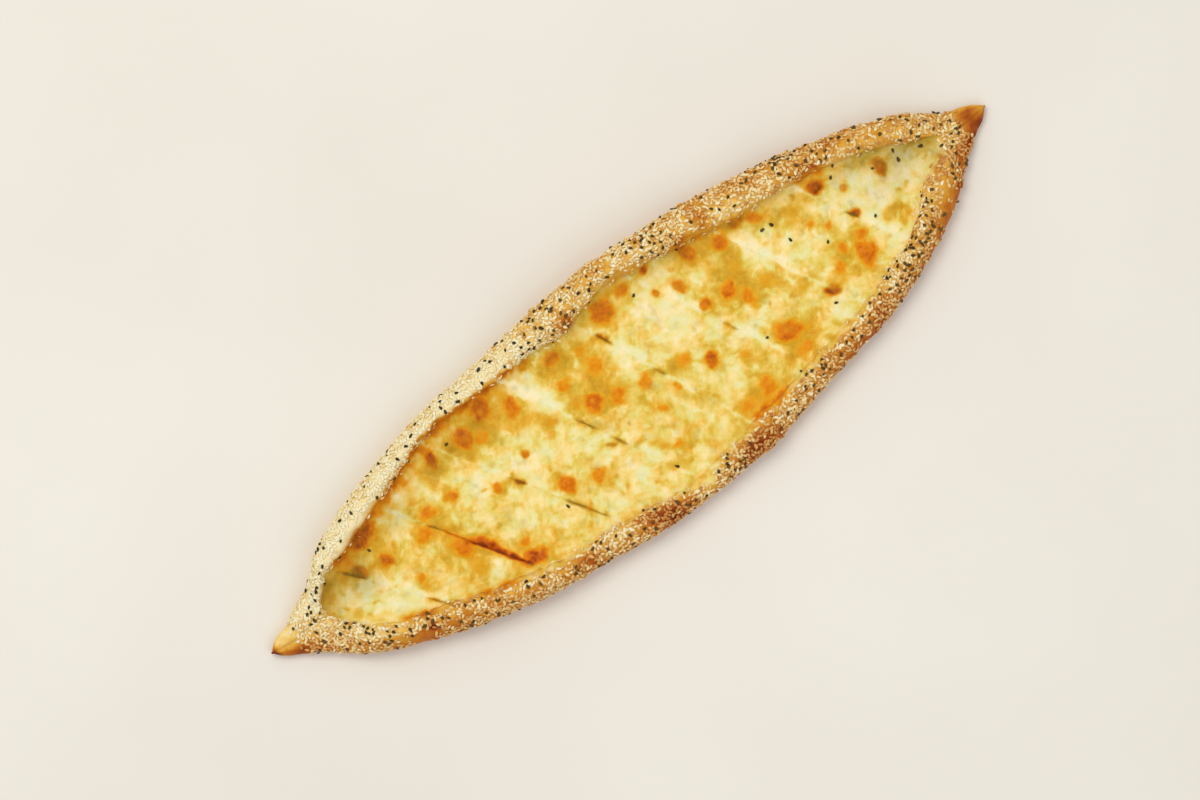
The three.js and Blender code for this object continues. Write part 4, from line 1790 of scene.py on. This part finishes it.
    def build(self, skin: dict[str, Field], cheese: CheeseLayer, taken: Taken) -> None:
        """Makes the seeds.

        Args:
            skin: The rim's surface.
            cheese: The cheese, for the stray seeds that lie on it.
            taken: Places already taken.
        """
        chosen = self.throw(skin, taken)
        at, up, bake = skin["places"][chosen], skin["normals"][chosen], skin["bake"][chosen]
        if self.stray:
            stray = np.array(self.stray, float)
            level = cheese.surface(stray[:, 0], stray[:, 1])["z"]
            at = np.concatenate([at, np.column_stack([stray, level])])
            up = np.concatenate([up, np.tile((0.0, 0.0, 1.0), (len(stray), 1))])
            bake = np.concatenate([bake, np.full(len(stray), self.stray_bake)])
        rng = np.random.default_rng(self.seed + 1)
        count = len(at)
        mesh = self.repeated(count)
        local = self.shapes(mesh, count, rng)
        z_axis = up + rng.normal(0, self.lean, (count, 3))
        z_axis /= np.linalg.norm(z_axis, axis=1, keepdims=True)
        heading = rng.normal(size=(count, 3))
        x_axis = heading - (heading * z_axis).sum(1, keepdims=True) * z_axis
        x_axis /= np.linalg.norm(x_axis, axis=1, keepdims=True)
        axes = np.stack([x_axis, np.cross(z_axis, x_axis), z_axis], axis=1)
        sink = self.sink + rng.uniform(-0.25, 0.15, (count, 1))
        centre = at + up * self.size[2] * (0.5 - sink)
        places = np.einsum("nvk,nkj->nvj", local, axes) + centre[:, None]
        low, high = (np.array(corner) / MM - (0.0, SHIFT_Y, 0.0) for corner in CAD_BOX)
        places -= np.maximum(places.max(axis=1) - high + BOX_MARGIN, 0)[:, None]
        places -= np.minimum(places.min(axis=1) - low - BOX_MARGIN, 0)[:, None]
        write_places(mesh, places)
        toasted = 0.09 * smooth(at[:, 0], 125, 170) - 0.04
        # The tone follows the dough's painted value beneath, its painted light and shade included.
        tone = np.clip(bake + toasted + rng.normal(0, self.tone_spread, count), 0, 1)
        paint(mesh, "tone", np.repeat(tone, local.shape[1]))
        self.piece = finish_piece(mesh)

    def dress(self) -> None:
        """Gives the seeds their skin."""
        dress_pieces([self.piece], SEED_COATS[self.kind])


class Nodes:
    """Short ways to add and join nodes in one tree."""

    def __init__(self, tree: bpy.types.NodeTree) -> None:
        """Works on a tree.

        Args:
            tree: The node tree.
        """
        self.tree = tree

    def add(self, kind: str, **values: object) -> bpy.types.Node:
        """Adds a node and sets its properties.

        Args:
            kind: The node's type name.
            values: Property names and values.

        Returns:
            The node.
        """
        node = self.tree.nodes.new(kind)
        for key, value in values.items():
            setattr(node, key, value)
        return node

    def join(self, source: Socket, target: Socket) -> None:
        """Joins an output to an input."""
        self.tree.links.new(source, target)

    def give(self, value: object, target: Socket) -> None:
        """Joins a socket to an input, or sets the input to a plain value.

        Args:
            value: The socket, or the plain value.
            target: The input.
        """
        if isinstance(value, Socket):
            self.join(value, target)
        else:
            target.default_value = value

    def attribute(self, name: str) -> Socket:
        """The value of a painted attribute."""
        return self.add("ShaderNodeAttribute", attribute_name=name).outputs["Fac"]

    def noise(
        self, scale: Socket | float, detail: float, roughness: float = 0.55, distortion: float = 0.0
    ) -> Socket:
        """Noise in the object's own space.

        Args:
            scale: Bumps to the metre.
            detail: Number of finer layers.
            roughness: Strength of the finer layers.
            distortion: How far its places are drawn aside.

        Returns:
            The noise's value.
        """
        place = self.add("ShaderNodeTexCoord")
        node = self.add("ShaderNodeTexNoise")
        self.give(scale, node.inputs["Scale"])
        node.inputs["Detail"].default_value = detail
        node.inputs["Roughness"].default_value = roughness
        node.inputs["Distortion"].default_value = distortion
        self.join(place.outputs["Object"], node.inputs["Vector"])
        return node.outputs["Fac"]

    def maths(self, operation: str, first: object, second: object, clamp: bool = False) -> Socket:
        """The result of one operation on two sockets or numbers.

        Args:
            operation: The maths node's operation.
            first: Socket or number.
            second: Socket or number.
            clamp: Whether the result stays from 0 to 1.

        Returns:
            The result.
        """
        node = self.add("ShaderNodeMath", operation=operation, use_clamp=clamp)
        for n, value in enumerate((first, second)):
            self.give(value, node.inputs[n])
        return node.outputs[0]

    def masked(self, value: Socket, start: float, gain: float) -> Socket:
        """A mask that rises from 0 to 1 as the value passes the start."""
        return self.maths("MULTIPLY", self.maths("SUBTRACT", value, start), gain, clamp=True)

    def ramp(self, value: Socket, stops: Stops) -> Socket:
        """A colour for each value.

        Args:
            value: The value.
            stops: Value and screen colour of each stop, in order.

        Returns:
            The colour.
        """
        node = self.add("ShaderNodeValToRGB")
        ramp = node.color_ramp
        for n, (at, colour) in enumerate(stops):
            stop = ramp.elements[n] if n < 2 else ramp.elements.new(at)
            stop.position = at
            stop.color = linear(colour)
        self.join(value, node.inputs["Fac"])
        return node.outputs["Color"]

    def blend(self, share: Socket, a: Socket, b: Socket | Colour) -> Socket:
        """Mix of two colours.

        Args:
            share: How much of the second shows.
            a: The first.
            b: The second, as a socket or as one screen colour.

        Returns:
            The mixed colour.
        """
        node = self.add("ShaderNodeMix", data_type="RGBA")
        self.join(share, node.inputs["Factor"])
        self.join(a, node.inputs["A"])
        self.give(b if isinstance(b, Socket) else linear(b), node.inputs["B"])
        return node.outputs["Result"]

    def mottled(self, value: Socket, amount: float, scale: float) -> Socket:
        """A value made uneven by the shared group.

        Args:
            value: The value.
            amount: How much it swings.
            scale: Bumps to the metre.

        Returns:
            The uneven value.
        """
        group = self.add("ShaderNodeGroup", node_tree=shared("Baking mottle"))
        self.join(value, group.inputs["Value"])
        group.inputs["Amount"].default_value = amount
        group.inputs["Scale"].default_value = scale
        return group.outputs["Value"]

    def cheese(self) -> Socket:
        """The cheese's colour, from what is painted on the piece.

        Returns:
            The colour.
        """
        group = self.add("ShaderNodeGroup", node_tree=shared("Cheese colour"))
        for name in ("Gold", "Brown", "Olive"):
            self.join(self.attribute(name.lower()), group.inputs[name])
        return group.outputs["Color"]

    def lift(self, height: Socket, distance: float) -> Socket:
        """A normal bent by a relief.

        Args:
            height: The relief's height, from 0 to 1.
            distance: Its depth, in metres.

        Returns:
            The normal.
        """
        node = self.add("ShaderNodeBump")
        node.inputs["Distance"].default_value = distance
        self.join(height, node.inputs["Height"])
        return node.outputs["Normal"]


def new_group(name: str, taken: Iterable[str], given: str, kind: str = "NodeSocketFloat") -> Group:
    """Makes a node group with its sockets.

    Args:
        name: Its name.
        taken: Names of the values that it takes.
        given: Name of what it gives.
        kind: Kind of socket of what it gives.

    Returns:
        The group, with no nodes yet.
    """
    tree = bpy.data.node_groups.new(name, "ShaderNodeTree")
    for value in taken:
        tree.interface.new_socket(value, in_out="INPUT", socket_type="NodeSocketFloat")
    tree.interface.new_socket(given, in_out="OUTPUT", socket_type=kind)
    return tree


def mottle_group() -> Group:
    """Shared effect: makes a painted value uneven, as baking does.

    Returns:
        The node group, which takes Value, Amount and Scale and gives Value.
    """
    tree = new_group("Baking mottle", ("Value", "Amount", "Scale"), "Value")
    nodes = Nodes(tree)
    given = nodes.add("NodeGroupInput").outputs
    noise = nodes.noise(given["Scale"], detail=4, roughness=0.6, distortion=0.6)
    swing = nodes.maths("MULTIPLY", nodes.maths("SUBTRACT", noise, 0.5), given["Amount"])
    total = nodes.maths("ADD", given["Value"], swing, clamp=True)
    nodes.join(total, nodes.add("NodeGroupOutput").inputs["Value"])
    return tree


def relief_group() -> Group:
    """Shared effect: fine relief of two sizes, for the bump of a baked surface.

    Returns:
        The node group, which takes Coarse, Fine and Share and gives Height.
    """
    tree = new_group("Fine relief", ("Coarse", "Fine", "Share"), "Height")
    nodes = Nodes(tree)
    given = nodes.add("NodeGroupInput").outputs
    coarse, fine = (nodes.noise(given[name], detail=3, roughness=0.5) for name in ("Coarse", "Fine"))
    total = nodes.maths("ADD", coarse, nodes.maths("MULTIPLY", fine, given["Share"]))
    nodes.join(total, nodes.add("NodeGroupOutput").inputs["Height"])
    return tree


def cheese_group() -> Group:
    """Shared effect: the colour of cheese, milky to golden, then browned and darkened towards olive, which
    holds painted shade as well.

    Returns:
        The node group, which takes Gold, Brown and Olive and gives Color.
    """
    tree = new_group("Cheese colour", ("Gold", "Brown", "Olive"), "Color", "NodeSocketColor")
    nodes = Nodes(tree)
    given = nodes.add("NodeGroupInput").outputs
    gold = nodes.mottled(given["Gold"], amount=0.4, scale=300)
    warm, cool = (nodes.ramp(gold, colours) for colours in (WARM_CHEESE_COLOURS, COOL_CHEESE_COLOURS))
    warmth = nodes.masked(nodes.noise(scale=120, detail=2), start=0.4, gain=4.5)
    plain = nodes.blend(warmth, cool, warm)
    seared_and_shaded = nodes.ramp(nodes.mottled(given["Brown"], amount=0.16, scale=420), BROWNED_CHEESE_COLOURS)
    share = nodes.masked(nodes.mottled(given["Brown"], amount=0.16, scale=500), start=0.04, gain=2.6)
    topped = nodes.blend(share, plain, seared_and_shaded)
    darkened = nodes.blend(given["Olive"], topped, OLIVE)
    nodes.join(darkened, nodes.add("NodeGroupOutput").inputs["Color"])
    return tree


def shared(name: str) -> Group:
    """A node group that several finishes use, made the first time."""
    makers = {"Baking mottle": mottle_group, "Fine relief": relief_group, "Cheese colour": cheese_group}
    return bpy.data.node_groups.get(name) or makers[name]()


@dataclass(frozen=True)
class Relief:
    """Bumps of two sizes: how many to the metre, the strength of the finer ones, and the depth in metres."""

    coarse: float
    fine: float
    share: float
    depth: float

    def normal(self, nodes: Nodes) -> Socket:
        """A normal bent by the shared relief.

        Args:
            nodes: The material's nodes.

        Returns:
            The normal.
        """
        group = nodes.add("ShaderNodeGroup", node_tree=shared("Fine relief"))
        group.inputs["Coarse"].default_value = self.coarse
        group.inputs["Fine"].default_value = self.fine
        group.inputs["Share"].default_value = self.share
        return nodes.lift(group.outputs["Height"], self.depth)


@dataclass(frozen=True, kw_only=True)
class Finish:
    """What every finish has: a name, how rough it is and how much it mirrors.

    The roughness may vary by swing, in so many patches to the metre. relief is its fine bumps, if it has any.
    """

    name: str
    roughness: float
    mirror: float
    patches: float = 0.0
    swing: float = 0.0
    relief: Relief | None = None

    def colour(self, nodes: Nodes) -> Socket:
        """The colour, which each kind of finish makes its own way."""
        raise NotImplementedError

    def make(self) -> bpy.types.Material:
        """Makes the material.

        Returns:
            The material, with its Principled shader.
        """
        material = bpy.data.materials.new(self.name)
        material.use_nodes = True
        nodes = Nodes(material.node_tree)
        material.node_tree.nodes.clear()
        shader = nodes.add("ShaderNodeBsdfPrincipled")
        shader.inputs["Roughness"].default_value = self.roughness
        shader.inputs["Specular IOR Level"].default_value = self.mirror
        output = nodes.add("ShaderNodeOutputMaterial")
        nodes.join(shader.outputs["BSDF"], output.inputs["Surface"])
        nodes.join(self.colour(nodes), shader.inputs["Base Color"])
        if self.swing:
            part = nodes.maths("MULTIPLY", nodes.noise(self.patches, 3), self.swing)
            rough = nodes.maths("ADD", part, self.roughness - self.swing / 2)
            nodes.join(rough, shader.inputs["Roughness"])
        if self.relief:
            nodes.join(self.relief.normal(nodes), shader.inputs["Normal"])
        return material


# Colours by value: the crumb's by its noise, the seeds' by their tone, and the others by what is painted
CRUMB_COLOURS = ((0.2, (206, 168, 108)), (0.5, (236, 212, 164)), (0.8, (248, 232, 198)))
CUT_CHEESE_COLOURS = ((0.2, (216, 184, 98)), (0.8, (232, 210, 136)))
SESAME_COLOURS = (
    (0.0, (250, 241, 204)),
    (0.25, (246, 225, 166)),
    (0.5, (231, 188, 115)),
    (0.8, (204, 137, 65)),
)
NIGELLA_COLOURS = ((0.0, (52, 44, 27)), (1.0, (108, 86, 48)))
DOUGH_COLOURS = (
    (0.0, (250, 234, 186)),
    (0.18, (246, 214, 132)),
    (0.34, (232, 178, 68)),
    (0.5, (210, 138, 36)),
    (0.66, (184, 98, 22)),
    (0.82, (142, 58, 14)),
    (1.0, (86, 32, 10)),
)
WARM_CHEESE_COLOURS = (
    (0.0, (254, 240, 196)),
    (0.25, (252, 228, 154)),
    (0.5, (246, 209, 112)),
    (0.75, (235, 182, 58)),
    (1.0, (216, 150, 24)),
)
COOL_CHEESE_COLOURS = (
    (0.0, (240, 238, 192)),
    (0.25, (238, 228, 150)),
    (0.5, (234, 208, 100)),
    (0.75, (220, 178, 54)),
    (1.0, (200, 147, 26)),
)
BROWNED_CHEESE_COLOURS = (
    (0.0, (236, 194, 58)),
    (0.2, (238, 176, 30)),
    (0.4, (234, 151, 14)),
    (0.6, (220, 122, 8)),
    (0.8, (186, 82, 4)),
    (1.0, (120, 48, 6)),
)
# The cheese's greener dark tone, used for painted shade on it as well
OLIVE = (124, 96, 24)
FLOOR_COLOURS = ((0.3, (232, 228, 220)), (0.7, (240, 237, 230)))


@dataclass(frozen=True, kw_only=True)
class BakedDough(Finish):
    """The crust, from cream through gold to brown as it is painted, by baking and by painted light and shade.
    """

    def colour(self, nodes: Nodes) -> Socket:
        """The dough, under the cheese that has run over it."""
        bake = nodes.mottled(nodes.attribute("bake"), amount=0.3, scale=300)
        return nodes.blend(nodes.attribute("melt"), nodes.ramp(bake, DOUGH_COLOURS), nodes.cheese())


@dataclass(frozen=True, kw_only=True)
class Crumb(Finish):
    """The plain inside of the bread or the cheese at a cut."""

    colours: Stops

    def colour(self, nodes: Nodes) -> Socket:
        """Its colours, in fine patches."""
        return nodes.ramp(nodes.noise(scale=700, detail=5, roughness=0.7), self.colours)


@dataclass(frozen=True, kw_only=True)
class MeltedCheese(Finish):
    """Cheese, milky to golden, browned as it is painted."""

    def colour(self, nodes: Nodes) -> Socket:
        """The cheese."""
        return nodes.cheese()


@dataclass(frozen=True, kw_only=True)
class SeedCoat(Finish):
    """The skin of a seed, by its tone: how toasted it is, with the dough's painted light and shade beneath
    it.
    """

    colours: Stops

    def colour(self, nodes: Nodes) -> Socket:
        """Its colours, by the seed's tone."""
        return nodes.ramp(nodes.mottled(nodes.attribute("tone"), amount=0.25, scale=900), self.colours)


@dataclass(frozen=True, kw_only=True)
class StudioFloor(Finish):
    """The plain pale surface under the bread."""

    def colour(self, nodes: Nodes) -> Socket:
        """Two nearly like shades, in wide patches."""
        return nodes.ramp(nodes.noise(scale=3, detail=3), FLOOR_COLOURS)


BAKED_DOUGH = BakedDough(
    name="Baked dough",
    roughness=0.55,
    mirror=0.13,
    patches=420,
    swing=0.3,
    relief=Relief(900, 3000, 0.4, 0.0003),
)
MELTED_CHEESE = MeltedCheese(
    name="Melted cheese",
    roughness=0.4,
    mirror=0.09,
    patches=300,
    swing=0.3,
    relief=Relief(700, 2600, 0.35, 0.0003),
)
CUT_RELIEF = Relief(600, 2200, 0.5, 0.0006)
BREAD_CRUMB = Crumb(name="Bread crumb", roughness=0.85, mirror=0.2, colours=CRUMB_COLOURS, relief=CUT_RELIEF)
CUT_CHEESE = Crumb(
    name="Cut cheese", roughness=0.5, mirror=0.3, colours=CUT_CHEESE_COLOURS, relief=CUT_RELIEF
)
SEED_RELIEF = Relief(2600, 5200, 0.4, 0.0001)
SEED_COATS = {
    SeedKind.SESAME: SeedCoat(
        name="Sesame coat", roughness=0.5, mirror=0.17, colours=SESAME_COLOURS, relief=SEED_RELIEF
    ),
    SeedKind.NIGELLA: SeedCoat(
        name="Nigella coat", roughness=0.55, mirror=0.17, colours=NIGELLA_COLOURS, relief=SEED_RELIEF
    ),
}
PALE_FLOOR = StudioFloor(name="Pale floor", roughness=0.8, mirror=0.2)


@dataclass
class Studio:
    """The floor, the lights and the camera.

    right and up are the picture's own directions on the floor. centre is what lies in the picture's middle
    and photo_width how much it spans, in millimetres. lens and sensor are the camera's, in millimetres.
    """

    right: Vector = field(default_factory=lambda: Vector((0.7929, -0.6093, 0.0)))
    up: Vector = field(default_factory=lambda: Vector((0.6093, 0.7929, 0.0)))
    centre: Vector = field(default_factory=lambda: Vector((-17.1, 0.5, 12.0)))
    photo_width: float = 583.9
    lens: float = 110.0
    sensor: float = 36.0
    floor_size: float = 8.0
    key_power: float = 16.5
    fill_power: float = 6.5
    sky_strength: float = 0.58

    def build_floor(self) -> None:
        """Makes the floor."""
        bm = bmesh.new()
        bmesh.ops.create_grid(bm, x_segments=1, y_segments=1, size=self.floor_size / 2)
        floor = put_in_scene("studio_floor", mesh_from(bm, "studio_floor"))
        dress_pieces([floor], PALE_FLOOR)

    def build_camera(self) -> None:
        """Makes the camera, straight above the bread, turned as the photo is."""
        data = bpy.data.cameras.new("photo_camera")
        data.lens = self.lens
        data.sensor_width = self.sensor
        camera = put_in_scene("photo_camera", data)
        distance = self.photo_width * self.lens / self.sensor
        at = (self.centre + Vector((0, SHIFT_Y, distance))) * MM
        turned = Matrix((self.right, self.up, self.right.cross(self.up))).transposed()
        camera.matrix_world = Matrix.Translation(at) @ turned.to_4x4()
        bpy.context.scene.camera = camera

    def add_light(self, name: str, at: Vector, size: float, power: float, colour: Colour) -> None:
        """Adds a square soft light that faces the bread.

        Args:
            name: Its name.
            at: Where it hangs, in metres.
            size: Side of the square, in metres.
            power: Its power, in watts.
            colour: Its screen colour.
        """
        data = bpy.data.lights.new(name, "AREA")
        data.size = size
        data.energy = power
        data.color = linear(colour)[:3]
        light = put_in_scene(name, data)
        light.location = at
        light.rotation_euler = (-at).to_track_quat("-Z", "Y").to_euler()

    def build_lights(self) -> None:
        """Makes a soft key light from the upper left of the picture, a fill and an even sky."""
        key_way = (self.up * 0.8 - self.right * 0.75).normalized()
        self.add_light("key", key_way * 0.85 + Vector((0, 0, 1.8)), 1.0, self.key_power, (255, 250, 240))
        self.add_light("fill", key_way * -1.2 + Vector((0, 0, 1.6)), 1.6, self.fill_power, (255, 252, 248))
        world = bpy.data.worlds.new("studio")
        world.use_nodes = True
        sky = world.node_tree.nodes["Background"]
        sky.inputs["Color"].default_value = linear((250, 249, 247))
        sky.inputs["Strength"].default_value = self.sky_strength
        bpy.context.scene.world = world

    def build(self) -> None:
        """Makes the whole studio."""
        self.build_floor()
        self.build_camera()
        self.build_lights()
        bpy.context.scene.view_settings.view_transform = "Standard"


# Nigella seeds that lie on the cheese, by x and y
STRAY_NIGELLA = (
    (27, 31), (66, -25), (-89.5, 29), (-151, 11), (104, 6), (144, -10), (162, 21), (142, 22), (138, 18),
    (157, 9), (156, 18.5), (170, 10), (169.5, 5), (182, 3.5), (190, -2.5), (-7, -48), (103, -32),
    (-61, -31), (118, -6), (96, 18), (101, 17.5),
)


def main() -> None:
    """Builds the bread and the studio, and writes how large the model came out."""
    logging.basicConfig(level=logging.INFO, format="%(name)s: %(message)s")
    cheese = CheeseLayer()
    crust = Crust(cheese)
    black, white = SeedKind.NIGELLA, SeedKind.SESAME
    nigella = SeedScatter(black, (2.4, 1.4, 1.05), 390, spacing=1.6, sink=0.15, taper=0.8, seed=51)
    nigella.stray = STRAY_NIGELLA
    sesame = SeedScatter(white, (2.7, 1.65, 0.85), 4200, spacing=1.2, sink=0.18, taper=0.75, seed=61)
    crust.build()
    cheese.build()
    skin = Skin([*crust.skin.rows, *cheese.skin.rows]).table()
    taken: Taken = {}
    nigella.build(skin, cheese, taken)
    sesame.build(skin, cheese, taken)
    for part in (crust, cheese, nigella, sesame):
        part.dress()
    Studio().build()


if __name__ == "__main__":
    main()
